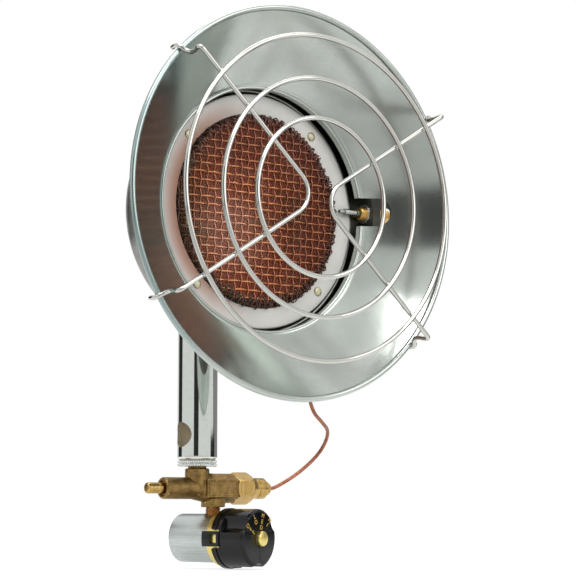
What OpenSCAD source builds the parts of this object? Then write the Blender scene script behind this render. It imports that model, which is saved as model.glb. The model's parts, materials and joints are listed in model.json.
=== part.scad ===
// Portable radiant gas heater that screws onto a disposable gas cylinder.
// Millimetres. The origin is the centre of the inlet socket's mouth. +Z is up,
// +Y points out of the socket and the control knob faces -Y. The mixing tube
// stands up from the valve, and the burner head is turned to the knob's right.

/* [Regulator] */
// Outer radius of the aluminium regulator body
body_r = 15.5; // [14.5:0.1:17]
// Length of the regulator body along the inlet axis
body_len = 31; // [30:0.5:34]
// Radius of the threaded inlet socket, for a 1 in-20 cylinder valve
inlet_r = 12.7; // [12.6:0.05:12.8]
// Length of the socket's thread
thread_len = 9.5; // [9:0.1:9.6]
// Distance of the vertical outlet nipple from the socket mouth
outlet_y = 24.2; // [24:0.1:25]
// Radius of the cover flange that the knob's fingers run round
flange_r = 16.8; // [16.5:0.1:17]

/* [Knob] */
// Largest radius of the knob's grip
knob_r = 18.6; // [18:0.1:19.5]
// Distance of the knob's face from the socket mouth
knob_face = 60.6; // [58:0.1:64]
// Outer radius of the knob's skirt and its fingers
skirt_r = 19.1; // [18.9:0.1:19.2]
// Number of snap fingers, and of finger scallops round the grip
fingers = 3; // [3:1:4]
// Radius of the round centre cap
cap_r = 4.2; // [3.5:0.1:5]

/* [Valve] */
// Height of the valve's axis above the regulator's axis
valve_z = 31.6; // [31.4:0.1:32.5]
// Sideways distance from the outlet nipple to the mixing tube
nipple_offset = 12.4; // [12:0.1:13]
// Radius of the valve's round barrel
barrel_r = 6.9; // [6.5:0.1:7.2]
// Size across the flats of the valve's octagonal part
octagon_af = 18.8; // [18:0.1:19.5]
// Radius of the push button
button_r = 3.5; // [3.4:0.05:3.6]
// How far the push button stands out of the barrel
button_out = 11.7; // [9:0.1:13]

/* [Mixing tube] */
// Outer radius of the mixing tube
tube_r = 12.7; // [12:0.1:13]
// Height of the tube's lower end above the regulator's axis
tube_z = 49.4; // [49.2:0.1:50.5]
// Radius of the cross-drilled air holes
air_hole_r = 8; // [6:0.1:8.5]
// Height of the air holes above the regulator's axis
air_hole_z = 65.4; // [64:0.1:68]
// Turn of the burner head to the right of the knob, in degrees
head_turn = 19; // [15:0.5:22]

/* [Head] */
// Height of the head's centre above the regulator's axis
head_z = 201.8; // [195:0.1:210]
// Distance of the reflector's rim plane in front of the mixing tube's axis
rim_z = 108; // [107:0.1:109]
// Radius of the reflector's outer edge
rim_r = 120.2; // [119:0.1:121]
// Radius of the hole in the reflector
hole_r = 75; // [74.5:0.1:76]
// Depth of that hole behind the rim plane
hole_depth = 36.4; // [35:0.1:37]
// Radius of the pressed burner pan
pan_r = 75.2; // [75:0.1:75.5]
// Radius of the burner's mesh
mesh_r = 60.6; // [58:0.1:60.8]
// Radius of the circle of rivets on the burner ring
rivet_circle_r = 66; // [65.5:0.1:67]

/* [Guard] */
// Centre radius of the outer guard ring
outer_ring_r = 97.2; // [96:0.1:98]
// Centre radius of the middle guard ring
middle_ring_r = 71.3; // [70:0.1:73]
// Centre radius of the inner guard ring
inner_ring_r = 47.4; // [46:0.1:49]
// Distance of the guard rings in front of the rim plane
guard_gap = 21.3; // [20:0.1:24]
// Radius of the wire of the rings
ring_wire_r = 1.5; // [1.3:0.05:1.6]
// Radius of the wire of the two V-shaped wires
vee_wire_r = 1.4; // [1.2:0.05:1.5]
// Half of the angle between the legs of a V, in degrees
vee_half = 37.4; // [34:0.1:40]
// Turn of the guard about the head's axis, in degrees
guard_turn = -5.3; // [-8:0.1:0]

/* [Hidden] */
$fn = 64;

cut = 1;                 // how far a cutting solid runs past a face
fit = 0.05;              // gap between pieces that are fixed together
run = 0.08;              // radial gap between a shaft and its hole
sheet = 0.8;             // thickness of the pressed steel
tube_xy = [-nipple_offset * cos(head_turn), -outlet_y + nipple_offset * sin(head_turn)];

// Stations of the regulator, measured forward from the socket mouth
inlet_depth = 15;                    // bottom of the socket
web_z = inlet_depth + 4;             // front of the web between socket and gas chamber
web_hole_r = 4;
pin_r = 3.1;                         // the nipple's pin in the socket, and where it ends
pin_back = 13.2;
seat_z = 28.6;                       // where the diaphragm is clamped
chamber_r = 11;
clamp_r = 13.4;
diaphragm_t = 0.8;
plate_t = 1.2;
plate_z = seat_z + diaphragm_t + 0.4;
seat_t = 2.2;           // thickness of the spring seat
bonnet_end = 47;
bonnet_r = 9.5;
bonnet_bore = 7.6;
stem_r = 3;
stem_flat = 1.8;        // distance of the stem's flat from its axis
stem_end = 57;
cap_sunk = 1.5;
end_wall = 1.6;         // thickness of the bonnet's end wall
nipple_seat = 14.2;     // height of the flat that the outlet nipple stands on
nipple_thread_r = 3.95;
nipple_r = 4.9;
seat_front = 41.2;
finger_back = 29.4;
skirt_back = 35;
grip_back = 37.5;

// Stations of the valve, measured along its axis to the right of the mixing tube
barrel_end = -26.8;
octagon_start = 7.6;
octagon_end = 26.3;
seat_x = 6;
gland_r = 5;
collar_x = -19.6;
collar_end = -18.2;
spring_end = -8;
rod_r = 1.5;
rod_start = -16.7;
magnet_bore = 7.2;
magnet_x = 20;
jet_r = 3.45;
nut_end = 39.6;
nut_cone_end = 44.5;
nut_neck_end = 52.3;
lead_nut_end = 57.2;
lead_nut_r = 3.05;
boss_bottom = 19.6;
neck_top = 44.1;
stub_r = 5.8;
stub_top = 55;

// Stations of the head, measured forward from the mixing tube's axis
ring_front = rim_z - 43.2;
ring_back = ring_front - sheet;
mesh_t = 0.9;
fine_mesh_t = 0.7;
gasket_t = 1.2;
retainer_front = ring_back - mesh_t - fine_mesh_t - gasket_t;
retainer_back = retainer_front - sheet;
pan_front = rim_z - 45.6;
pan_back = rim_z - 88;
pan_corner = 16;
pan_flange_r = 84;
baffle_z = 44;
rivet_r = 1.6;
mesh_flange_r = 70.5;
gasket_out = 72.6;
gasket_in = 60.8;
elbow_r = 22;
probe_z = rim_z - 40.4;
probe_y = 5.5;
probe_r = 2.1;
sleeve_r = 4.3;
flange_bolt_r = 17.5;    // circle of the rivets in the elbow's flange
weld = 0.3;              // depth that the guard's crossing wires are melted into each other
guard_z = rim_z + guard_gap;
vee_z = guard_z - ring_wire_r - vee_wire_r + weld;

// Centre line of the copper tube: right, up and forward distances from the head's centre
lead_r = 1.25;
lead_route = [
    [50, -170.2, 0], [57.5, -170.2, 0], [64, -168.4, 0], [77, -162, 0], [88, -155, 0],
    [96.5, -147.5, 1], [100, -140.5, 4], [99.5, -134.5, 8], [95, -130.5, 13], [86, -126.5, 19],
    [74, -120.5, 26], [66, -111, 32], [65, -98, 37], [72, -80, 43], [84, -60, 48], [94, -38, 53],
    [100, -18, 59], [101, -4, 64.5], [96.5, 4.8, 67.3],
    [93, probe_y, probe_z], [90, probe_y, probe_z], [87, probe_y, probe_z],
];

// The reflector's profile: a parabola from the hole to the rolled edge
bead_r = 1.8;
bead_at = rim_r - bead_r;
bead_z = rim_z - 0.9;
dish_t = 0.85;
dish_curve = (bead_z - rim_z + hole_depth) / (bead_at * bead_at - hole_r * hole_r);
function dish_z(r) = rim_z - hole_depth + dish_curve * (r * r - hole_r * hole_r);

// ---------- frames of reference ----------

// z runs forward from the socket mouth, y up
module regulator_frame() {
    rotate([90, 0, 0]) children();
}

// z runs up the mixing tube, x along the valve's axis
module tube_frame() {
    translate([tube_xy[0], tube_xy[1], 0]) rotate([0, 0, -head_turn]) children();
}

// z runs to the right along the valve's axis
module valve_frame() {
    tube_frame() translate([0, 0, valve_z]) rotate([0, 90, 0]) children();
}

// z runs forward from the mixing tube's axis through the head's centre, y up
module head_frame() {
    tube_frame() translate([0, 0, head_z]) rotate([90, 0, 0]) children();
}

// ---------- shared shapes ----------

// A ring or tube standing on z0
module ring(z0, h, outer, inner) {
    translate([0, 0, z0]) difference() {
        cylinder(h = h, r = outer);
        translate([0, 0, -cut]) cylinder(h = h + 2 * cut, r = inner);
    }
}

// Copies of the children in a circle
module around(count, start = 0) {
    for (i = [0 : count - 1]) rotate([0, 0, start + i * 360 / count]) children();
}

// A disc with triangular teeth round its edge
module serrated_disc(outer, depth, teeth, h) {
    linear_extrude(height = h) polygon([
        for (i = [0 : 2 * teeth - 1])
            let (r = outer - (i % 2) * depth, a = i * 180 / teeth)
            [r * cos(a), r * sin(a)]
    ]);
}

// The side direction of a ring of a swept tube, from its travel direction
function unit(v) = v / norm(v);
function middle(points, i) = unit(
    points[min(i + 1, len(points) - 1)] - points[max(i - 1, 0)]);
function side_step(side, dir) = unit(side - dir * (side * dir));
function sides_along(points, i, side) =
    let (next = side_step(side, middle(points, i)))
    i == len(points) - 1 ? [next] : concat([next], sides_along(points, i + 1, next));

// A round wire of radius r along the points
module swept_wire(points, r, sides = 8, start = [0, 0, 1]) {
    count = len(points);
    normals = sides_along(points, 0, start);
    skin = [
        for (i = [0 : count - 1])
            let (a = normals[i], b = cross(middle(points, i), a))
            for (k = [0 : sides - 1])
                points[i] + r * (a * cos(k * 360 / sides) + b * sin(k * 360 / sides))
    ];
    walls = [
        for (i = [0 : count - 2], k = [0 : sides - 1])
            let (p = i * sides + k, q = i * sides + (k + 1) % sides)
            each [[p, q, q + sides], [p, q + sides, p + sides]]
    ];
    first_cap = [for (k = [1 : sides - 2]) [0, k + 1, k]];
    last = (count - 1) * sides;
    last_cap = [for (k = [1 : sides - 2]) [last, last + k, last + k + 1]];
    polyhedron(points = skin, faces = concat(walls, first_cap, last_cap));
}

// Points of a smooth line through the given points
function smooth(p, steps) = [
    for (i = [0 : len(p) - 2], k = [0 : steps - 1])
        let (
            a = p[max(i - 1, 0)], b = p[i], c = p[i + 1], d = p[min(i + 2, len(p) - 1)],
            t = k / steps
        )
        0.5 * ((2 * b) + (c - a) * t + (2 * a - 5 * b + 4 * c - d) * t * t
            + (3 * b - a - 3 * c + d) * t * t * t),
    p[len(p) - 1],
];

// Points of a coil spring with flat end turns
function coil(mean_r, z0, z1, turns, steps) = [
    for (i = [0 : turns * steps])
        let (a = 360 * i / steps, t = i / (turns * steps))
        [mean_r * cos(a), mean_r * sin(a), z0 + (z1 - z0) * t]
];

// ---------- regulator ----------

module regulator_body() {
    edge = 0.8;
    relief_r = inlet_r - 0.5;
    color([0.72, 0.74, 0.72]) regulator_frame() difference() {
        rotate_extrude() polygon([
            [inlet_r, 0], [body_r - edge, 0], [body_r, edge], [body_r, body_len],
            [clamp_r, body_len], [clamp_r, seat_z], [chamber_r, seat_z], [chamber_r, web_z],
            [web_hole_r, web_z], [web_hole_r, inlet_depth], [relief_r, inlet_depth], [relief_r, thread_len],
            [inlet_r, thread_len],
        ]);
        // Threaded hole for the outlet nipple, and the flat round it
        translate([0, chamber_r - 2, outlet_y]) rotate([-90, 0, 0])
            cylinder(h = body_r, r = nipple_thread_r + fit);
        translate([0, nipple_seat, outlet_y]) rotate([-90, 0, 0])
            cylinder(h = body_r, r = nipple_r + 0.1);
    }
}

module inlet_nipple() {
    bore = 2.2;
    throat = 1.1;
    nose = 9.8;
    flange = 6;
    shank = web_hole_r - fit;
    tail = web_z + 1.5;
    color([0.80, 0.65, 0.36]) regulator_frame() rotate_extrude() polygon([
        [bore, nose], [pin_r - 0.5, nose], [pin_r, nose + 0.8], [pin_r, pin_back], [flange, pin_back],
        [flange, inlet_depth - fit], [shank, inlet_depth - fit], [shank, tail], [throat, tail],
        [throat, web_z - 0.5], [bore, web_z - 0.5],
    ]);
}

module inlet_seal() {
    cord = 1.35;
    color([0.10, 0.10, 0.10]) regulator_frame() translate([0, 0, pin_back - fit - cord])
        rotate_extrude() translate([pin_r + fit + cord, 0]) circle(r = cord);
}

module regulator_poppet() {
    color([0.70, 0.70, 0.68]) regulator_frame() rotate_extrude() polygon([
        [0, web_z - 3], [1.8, web_z - 3], [1.8, web_z - 0.8], [0.8, web_z - 0.8],
        [0.8, seat_z - 0.1], [0, seat_z - 0.1],
    ]);
}

module diaphragm() {
    fold_r = 8.9;
    edge_r = clamp_r - 0.1;
    top = seat_z + diaphragm_t;
    color([0.14, 0.13, 0.12]) regulator_frame() rotate_extrude() polygon([
        [0, seat_z], [fold_r - 1, seat_z], [fold_r, seat_z + 0.8], [fold_r + 1, seat_z], [edge_r, seat_z],
        [edge_r, top], [fold_r + 1.4, top], [fold_r, top + 1], [fold_r - 1.4, top], [0, top],
    ]);
}

module diaphragm_plate() {
    color([0.74, 0.75, 0.74]) regulator_frame() {
        translate([0, 0, plate_z]) cylinder(h = plate_t, r = 7);
        translate([0, 0, plate_z + plate_t - 0.2]) cylinder(h = 1.6, r = 4);
    }
}

module regulating_spring() {
    wire = 0.6;
    low = plate_z + plate_t + wire + 0.1;
    high = seat_front - seat_t - wire - 0.1;
    color([0.75, 0.76, 0.77]) regulator_frame() swept_wire(coil(5.6, low, high, 4, 12), wire, 6, [1, 0, 0]);
}

module spring_seat() {
    key_w = 1.6;
    color([0.80, 0.65, 0.36]) regulator_frame() difference() {
        union() {
            translate([0, 0, seat_front - seat_t]) cylinder(h = seat_t, r = bonnet_bore - 0.3);
            translate([0, 0, seat_front - 1]) cylinder(h = 2, r = 5);
            around(2) translate([4, -key_w / 2, seat_front - seat_t]) cube([4.3, key_w, seat_t]);
        }
        translate([0, 0, seat_front - 5]) cylinder(h = 10, r = stem_r + run);
    }
}

module cover_flange() {
    slot_w = 2.4;
    clamp_in = 10.8;
    color([0.90, 0.76, 0.36]) regulator_frame() difference() {
        rotate_extrude() polygon([
            [clamp_in, seat_z + diaphragm_t + fit], [clamp_r - fit, seat_z + diaphragm_t + fit],
            [clamp_r - fit, body_len + fit], [flange_r, body_len + fit], [flange_r, body_len + 1.4],
            [bonnet_r, body_len + 1.4], [bonnet_r, bonnet_end], [stem_r + run, bonnet_end],
            [stem_r + run, bonnet_end - end_wall], [bonnet_bore, bonnet_end - end_wall],
            [bonnet_bore, body_len],
            [clamp_in, body_len],
        ]);
        // Two slots that keep the spring seat from turning
        around(2) translate([6, -slot_w / 2, body_len + 3]) cube([2.6, slot_w, bonnet_end - body_len - 5]);
    }
}

module control_stem() {
    collar_t = 1;
    collar_z = bonnet_end - end_wall - 0.3 - collar_t;
    tail = seat_front - 4;
    color([0.78, 0.63, 0.35]) regulator_frame() {
        difference() {
            translate([0, 0, tail]) cylinder(h = stem_end - tail, r = stem_r);
            // Flat that carries the knob
            translate([stem_flat, -5, bonnet_end + 3]) cube([5, 10, 20]);
        }
        // Collar that runs behind the bonnet's end wall
        translate([0, 0, collar_z]) cylinder(h = collar_t, r = 5);
    }
}

module control_knob() {
    scallop_r = 9;
    scallop_depth = 3;
    scallop_at = knob_r + scallop_r - scallop_depth;
    edge = 1.6;
    hollow_r = knob_r - scallop_depth - 2.2;
    hollow_end = knob_face - 9;
    finger_w = 9.6;
    window = [4, 3.8];
    ring_w = 2.1;
    socket_end = knob_face - 3.4;
    color([0.10, 0.11, 0.11]) regulator_frame() difference() {
        union() {
            // Grip with its bevelled face
            difference() {
                union() {
                    translate([0, 0, grip_back - 1])
                        cylinder(h = knob_face - edge - grip_back + 1, r = knob_r);
                    translate([0, 0, knob_face - edge]) cylinder(h = edge, r1 = knob_r, r2 = knob_r - edge);
                }
                around(fingers, 30) translate([scallop_at, 0, grip_back + 1.5])
                    cylinder(h = 40, r = scallop_r);
            }
            // Skirt
            translate([0, 0, skirt_back]) cylinder(h = grip_back - skirt_back, r = skirt_r);
            // Fingers that reach back over the cover flange
            intersection() {
                union() {
                    ring(finger_back, grip_back - finger_back, skirt_r, flange_r + 0.4);
                    ring(finger_back, 1.4, skirt_r, body_r + 0.5);
                }
                around(fingers, 60)
                    translate([0, -finger_w / 2, finger_back - cut]) cube([30, finger_w, 20]);
            }
        }
        // Hollow inside, round the bonnet
        translate([0, 0, skirt_back - cut]) cylinder(h = hollow_end - skirt_back + cut, r = hollow_r);
        translate([0, 0, skirt_back - cut]) cylinder(h = cut + 0.8, r = skirt_r - ring_w);
        // Socket for the stem
        difference() {
            translate([0, 0, hollow_end - cut]) cylinder(h = socket_end - hollow_end + cut, r = stem_r + fit);
            translate([stem_flat + fit, -5, 0]) cube([5, 10, knob_face]);
        }
        // Seat of the centre cap
        translate([0, 0, knob_face - cap_sunk]) cylinder(h = 5, r = cap_r + fit);
        // Windows over the flange's edge
        around(fingers, 60)
            translate([flange_r, -window[0] / 2, body_len - 0.4]) cube([6, window[0], window[1]]);
    }
}

module knob_cap() {
    dome = 2.2;
    bulge = (cap_r * cap_r + dome * dome) / (2 * dome);
    color([0.86, 0.75, 0.38]) regulator_frame() {
        translate([0, 0, knob_face - cap_sunk + fit]) cylinder(h = cap_sunk + 0.8, r = cap_r);
        intersection() {
            translate([0, 0, knob_face + 0.8 + fit + dome - bulge]) sphere(r = bulge);
            translate([0, 0, knob_face + 0.8]) cylinder(h = dome + cut, r = cap_r - 0.02);
        }
    }
}

// ---------- valve ----------

module outlet_nipple() {
    gas_r = 2;
    color([0.72, 0.46, 0.30]) translate([0, -outlet_y, 0]) rotate_extrude() polygon([
        [gas_r, chamber_r - 0.5], [nipple_thread_r, chamber_r - 0.5], [nipple_thread_r, nipple_seat + fit],
        [nipple_r, nipple_seat + fit], [nipple_r, boss_bottom - fit], [nipple_thread_r, boss_bottom - fit],
        [nipple_thread_r, boss_bottom + 2.6], [gas_r, boss_bottom + 2.6],
    ]);
}

module valve_body() {
    flare_start = -4;
    neck_r = 7.8;
    boss_r = 7.7;
    pad = [24.3, 12];
    pad_x = octagon_start - 6.4;
    pad_y = octagon_af / 2 + 0.9;
    rim = 1.2;
    gas_r = 2.2;
    color([0.64, 0.49, 0.29]) tube_frame() difference() {
        union() {
            translate([0, 0, valve_z]) rotate([0, 90, 0]) {
                // Barrel with its machined end
                translate([0, 0, barrel_end + 1]) cylinder(h = -barrel_end + 6, r = barrel_r);
                translate([0, 0, barrel_end]) cylinder(h = 1, r1 = barrel_r - 1, r2 = barrel_r);
                // Cast flare into the octagon
                translate([0, 0, flare_start])
                    cylinder(h = octagon_start - flare_start, r1 = barrel_r + 0.1, r2 = octagon_af / 2);
                translate([0, 0, octagon_start]) rotate([0, 0, 22.5])
                    cylinder(h = octagon_end - octagon_start, r = octagon_af / 2 / cos(22.5), $fn = 8);
            }
            // Neck below the mixing tube, and its threaded stub
            translate([0, 0, valve_z]) cylinder(h = neck_top - valve_z - 0.5, r = neck_r);
            translate([0, 0, neck_top - 0.5]) cylinder(h = 0.5, r1 = neck_r, r2 = neck_r - 0.5);
            translate([0, 0, valve_z]) cylinder(h = stub_top - valve_z, r = stub_r);
            // Boss over the regulator
            translate([nipple_offset, 0, boss_bottom]) cylinder(h = valve_z - boss_bottom, r = boss_r);
            // Rectangular pad on the front
            translate([pad_x, -pad_y, valve_z - pad[1] / 2]) cube([pad[0], 4, pad[1]]);
        }
        // Sunk middle of the pad
        translate([pad_x + rim, -pad_y - cut, valve_z - pad[1] / 2 + rim])
            cube([pad[0] - 2 * rim, cut + 0.6, pad[1] - 2 * rim]);
        translate([0, 0, valve_z]) rotate([0, 90, 0]) {
            // Bore for the gland and the button's spring
            translate([0, 0, barrel_end - cut]) cylinder(h = cut + spring_end - barrel_end, r = gland_r);
            // Bore for the rod
            translate([0, 0, spring_end - 2]) cylinder(h = 2 - spring_end, r = rod_r + run);
            // Gas way under the neck
            translate([0, 0, -3]) cylinder(h = seat_x + 4, r = 3);
            // Chamber of the magnet unit
            translate([0, 0, seat_x]) cylinder(h = octagon_end - seat_x + cut, r = magnet_bore);
        }
        // Way up to the jet, and the jet's thread
        translate([0, 0, valve_z]) cylinder(h = 20, r = gas_r);
        translate([0, 0, stub_top - 8]) cylinder(h = 8 + cut, r = jet_r + fit);
        // Way in from the outlet nipple
        translate([nipple_offset, 0, boss_bottom - cut])
            cylinder(h = 4 + cut, r = nipple_thread_r + fit);
        translate([nipple_offset, 0, boss_bottom]) cylinder(h = 8, r = gas_r);
    }
}

module push_button() {
    tip = barrel_end - button_out;
    collar_r = gland_r - 0.4;
    spigot_r = 2.3;
    color([0.83, 0.66, 0.34]) valve_frame() rotate_extrude() polygon([
        [0, tip], [button_r - 1.2, tip], [button_r - 0.3, tip + 0.5], [button_r, tip + 1.4],
        [button_r, collar_x], [collar_r, collar_x], [collar_r, collar_end], [spigot_r, collar_end],
        [spigot_r, rod_start - 0.1], [0, rod_start - 0.1],
    ]);
}

module button_gland() {
    color([0.80, 0.64, 0.35]) valve_frame() ring(barrel_end + 2, 4.6, gland_r - fit, button_r + run);
}

module button_spring() {
    wire = 0.35;
    clear = wire + 0.1;
    color([0.75, 0.76, 0.77]) valve_frame()
        swept_wire(coil(3.6, collar_end + clear, spring_end - clear, 5, 12), wire, 6, [1, 0, 0]);
}

module button_rod() {
    color([0.74, 0.74, 0.72]) valve_frame() translate([0, 0, rod_start])
        cylinder(h = seat_x + 0.1 - rod_start, r = rod_r);
}

module valve_poppet() {
    color([0.16, 0.15, 0.14]) valve_frame() rotate_extrude() polygon([
        [0, seat_x + 0.2], [4.6, seat_x + 0.2], [4.6, seat_x + 2], [1.6, seat_x + 2.6], [1.6, seat_x + 7.4],
        [3.8, seat_x + 7.4], [3.8, seat_x + 8.6], [0, seat_x + 8.6],
    ]);
}

module magnet_unit() {
    color([0.62, 0.62, 0.60]) valve_frame() {
        ring(magnet_x, 6, 6, 4.2);
        translate([0, 0, magnet_x]) cylinder(h = 6, r = 2.6);
        translate([0, 0, magnet_x + 5.5]) cylinder(h = 0.9, r = magnet_bore - 0.1);
        translate([0, 0, magnet_x + 6.2]) cylinder(h = 12, r = 3);
    }
}

module magnet_nut() {
    corner_r = 10.4;
    neck_r = 6.8;
    color([0.78, 0.64, 0.36]) valve_frame() difference() {
        union() {
            intersection() {
                translate([0, 0, octagon_end + 0.15])
                    cylinder(h = nut_end - octagon_end, r = corner_r, $fn = 6);
                rotate_extrude() polygon([
                    [0, octagon_end], [corner_r - 1.2, octagon_end], [corner_r, octagon_end + 1.2],
                    [corner_r, nut_end - 1.2], [corner_r - 1.4, nut_end + 1], [0, nut_end + 1],
                ]);
            }
            rotate_extrude() polygon([
                [0, nut_end - 1], [neck_r + 1.8, nut_end - 1], [neck_r + 1.8, nut_end],
                [neck_r, nut_cone_end - 1.5], [neck_r, nut_neck_end - 1.2],
                [neck_r - 1.2, nut_neck_end], [0, nut_neck_end],
            ]);
        }
        translate([0, 0, octagon_end - cut]) cylinder(h = 14, r = 3.6);
        translate([0, 0, octagon_end]) cylinder(h = 40, r = lead_nut_r + fit);
    }
}

module lead_nut() {
    hex_r = 4.6;
    color([0.80, 0.65, 0.38]) valve_frame() difference() {
        union() {
            translate([0, 0, nut_neck_end + fit]) cylinder(h = 3.2, r = hex_r, $fn = 6);
            translate([0, 0, nut_neck_end + 3])
                cylinder(h = lead_nut_end - nut_neck_end - 3, r1 = 3.9, r2 = 2.2);
            translate([0, 0, nut_neck_end - 6]) cylinder(h = 7, r = lead_nut_r);
        }
        translate([0, 0, nut_neck_end - 7]) cylinder(h = 20, r = lead_r + fit);
    }
}

module thermocouple_lead() {
    color([0.72, 0.46, 0.33]) head_frame() swept_wire(smooth(lead_route, 3), lead_r, 8, [0, 0, 1]);
}

// ---------- mixing tube ----------

module gas_jet() {
    color([0.80, 0.65, 0.36]) tube_frame() difference() {
        union() {
            translate([0, 0, stub_top - 7]) cylinder(h = 7.2, r = jet_r);
            translate([0, 0, stub_top + fit]) cylinder(h = 3, r = 4.8, $fn = 6);
            translate([0, 0, stub_top + 3]) cylinder(h = 3, r1 = 3.4, r2 = 1.6);
        }
        translate([0, 0, stub_top - 8]) cylinder(h = 12, r = 1.5);
        translate([0, 0, stub_top - 8]) cylinder(h = 20, r = 0.4);
    }
}

module lock_ring() {
    low = neck_top + 1.2;
    step = (tube_z - low - 0.1) / 2;
    outer = 12.6;
    groove = 0.25;
    teeth = 44;
    color([0.80, 0.81, 0.81]) tube_frame() difference() {
        union() {
            translate([0, 0, low]) serrated_disc(outer, 0.5, teeth, step - groove);
            translate([0, 0, low]) cylinder(h = 2 * step, r = outer - 1);
            translate([0, 0, low + step + groove]) rotate([0, 0, 180 / teeth])
                serrated_disc(outer, 0.5, teeth, step - groove);
        }
        translate([0, 0, low - cut]) cylinder(h = 2 * step + 2 * cut, r = stub_r + fit);
    }
}

module mixing_tube() {
    wall = 1;
    shoulder = 3.2;
    inner = tube_r - wall;
    elbow_z = head_z - elbow_r;
    color([0.78, 0.80, 0.80]) tube_frame() {
        difference() {
            rotate_extrude() polygon(concat(
                [[stub_r + fit, tube_z], [tube_r - shoulder, tube_z]],
                [for (a = [15 : 15 : 75]) [
                    tube_r - shoulder + shoulder * sin(a), tube_z + shoulder - shoulder * cos(a)]],
                [[tube_r, tube_z + shoulder], [tube_r, elbow_z], [inner, elbow_z],
                    [inner, tube_z + shoulder], [inner - 2, tube_z + wall], [stub_r + fit, tube_z + wall]]
            ));
            // Air holes, right through
            translate([-20, 0, air_hole_z]) rotate([0, 90, 0]) cylinder(h = 40, r = air_hole_r);
        }
        // Elbow forward into the burner pan
        translate([0, -elbow_r, elbow_z]) rotate([0, 90, 0]) rotate([0, 0, 90])
            rotate_extrude(angle = 90) translate([elbow_r, 0]) difference() {
                circle(r = tube_r);
                circle(r = inner);
            }
        translate([0, -elbow_r, head_z]) rotate([90, 0, 0]) ring(0, 5, tube_r, inner);
    }
}

// ---------- burner head ----------

module elbow_flange() {
    color([0.66, 0.68, 0.68]) head_frame() difference() {
        union() {
            translate([0, 0, pan_back + sheet + fit]) cylinder(h = 1.5, r = 20);
            translate([0, 0, pan_back + sheet + 1]) cylinder(h = 3.6, r1 = 15.6, r2 = 14.2);
        }
        cylinder(h = 40, r = tube_r + 0.1);
        flange_holes();
    }
}

module flange_holes() {
    around(3, 90) translate([flange_bolt_r, 0, 0]) cylinder(h = 40, r = 1.2);
}

module flange_rivets() {
    color([0.70, 0.71, 0.70]) head_frame() around(3, 90) translate([flange_bolt_r, 0, 0]) {
        translate([0, 0, pan_back - 0.5]) cylinder(h = sheet + 2.4, r = 1.1);
        translate([0, 0, pan_back - fit - 0.9]) cylinder(h = 0.9, r1 = 1.8, r2 = 2.6);
        translate([0, 0, pan_back + sheet + 1.6]) cylinder(h = 0.8, r = 2.1);
    }
}

module burner_pan() {
    inside = pan_corner - sheet;
    corner_r = pan_r - pan_corner;
    corner_z = pan_back + pan_corner;
    color([0.52, 0.54, 0.54]) head_frame() difference() {
        rotate_extrude($fn = 96) polygon(concat(
            [[tube_r + 0.4, pan_back], [corner_r, pan_back]],
            [for (a = [15 : 15 : 75]) [corner_r + pan_corner * sin(a), corner_z - pan_corner * cos(a)]],
            [[pan_r, corner_z], [pan_r, pan_front - sheet], [pan_flange_r, pan_front - sheet],
                [pan_flange_r, pan_front], [pan_r - sheet, pan_front], [pan_r - sheet, corner_z]],
            [for (a = [75 : -15 : 15]) [corner_r + inside * sin(a), corner_z - inside * cos(a)]],
            [[corner_r, pan_back + sheet], [tube_r + 0.4, pan_back + sheet]]
        ));
        flange_holes();
    }
}

module flame_baffle() {
    leg_r = 1.6;
    color([0.60, 0.60, 0.58]) head_frame() {
        translate([0, 0, baffle_z]) cylinder(h = 1, r = 33);
        translate([0, 0, baffle_z + 0.8]) cylinder(h = 4, r1 = 20, r2 = 12);
        around(3, 30) translate([27, 0, pan_back + sheet + fit])
            cylinder(h = baffle_z - pan_back - sheet - fit + 0.5, r = leg_r);
    }
}

// A shallow drum of mesh with a flat flange behind the burner ring
module mesh_drum(front, radius, flange_back, t) {
    round_r = 3.5;
    crown = 0.8;
    rotate_extrude($fn = 96) polygon(concat(
        [[0, front + crown], [radius * 0.5, front + crown * 0.75], [radius - round_r, front]],
        [for (a = [22.5 : 22.5 : 67.5])
            [radius - round_r + round_r * sin(a), front - round_r + round_r * cos(a)]],
        [[radius, front - round_r], [radius, flange_back + t], [mesh_flange_r, flange_back + t],
            [mesh_flange_r, flange_back], [radius - t, flange_back], [radius - t, front - round_r]],
        [for (a = [67.5 : -22.5 : 22.5])
            [radius - round_r + (round_r - t) * sin(a), front - round_r + (round_r - t) * cos(a)]],
        [[radius - round_r, front - t], [radius * 0.5, front + crown * 0.75 - t], [0, front + crown - t]]
    ));
}

module rivet_holes() {
    around(4, 45) translate([rivet_circle_r, 0, 0]) cylinder(h = rim_z, r = rivet_r + fit);
}

module outer_mesh() {
    color([0.48, 0.25, 0.17]) head_frame() difference() {
        mesh_drum(ring_front + 4, mesh_r - 0.3, ring_back - mesh_t, mesh_t - fit);
        rivet_holes();
    }
}

module inner_mesh() {
    low = ring_back - mesh_t - fine_mesh_t;
    color([0.38, 0.17, 0.12]) head_frame() difference() {
        mesh_drum(ring_front + 2.6, mesh_r - 1.9, low, fine_mesh_t - fit);
        rivet_holes();
    }
}

module mesh_gasket() {
    color([0.85, 0.84, 0.80]) head_frame() difference() {
        ring(retainer_front, gasket_t - fit, gasket_out, gasket_in);
        rivet_holes();
    }
}

module mesh_retainer() {
    color([0.62, 0.63, 0.62]) head_frame() difference() {
        ring(retainer_back, sheet - fit, gasket_out, gasket_in);
        rivet_holes();
    }
}

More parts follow.
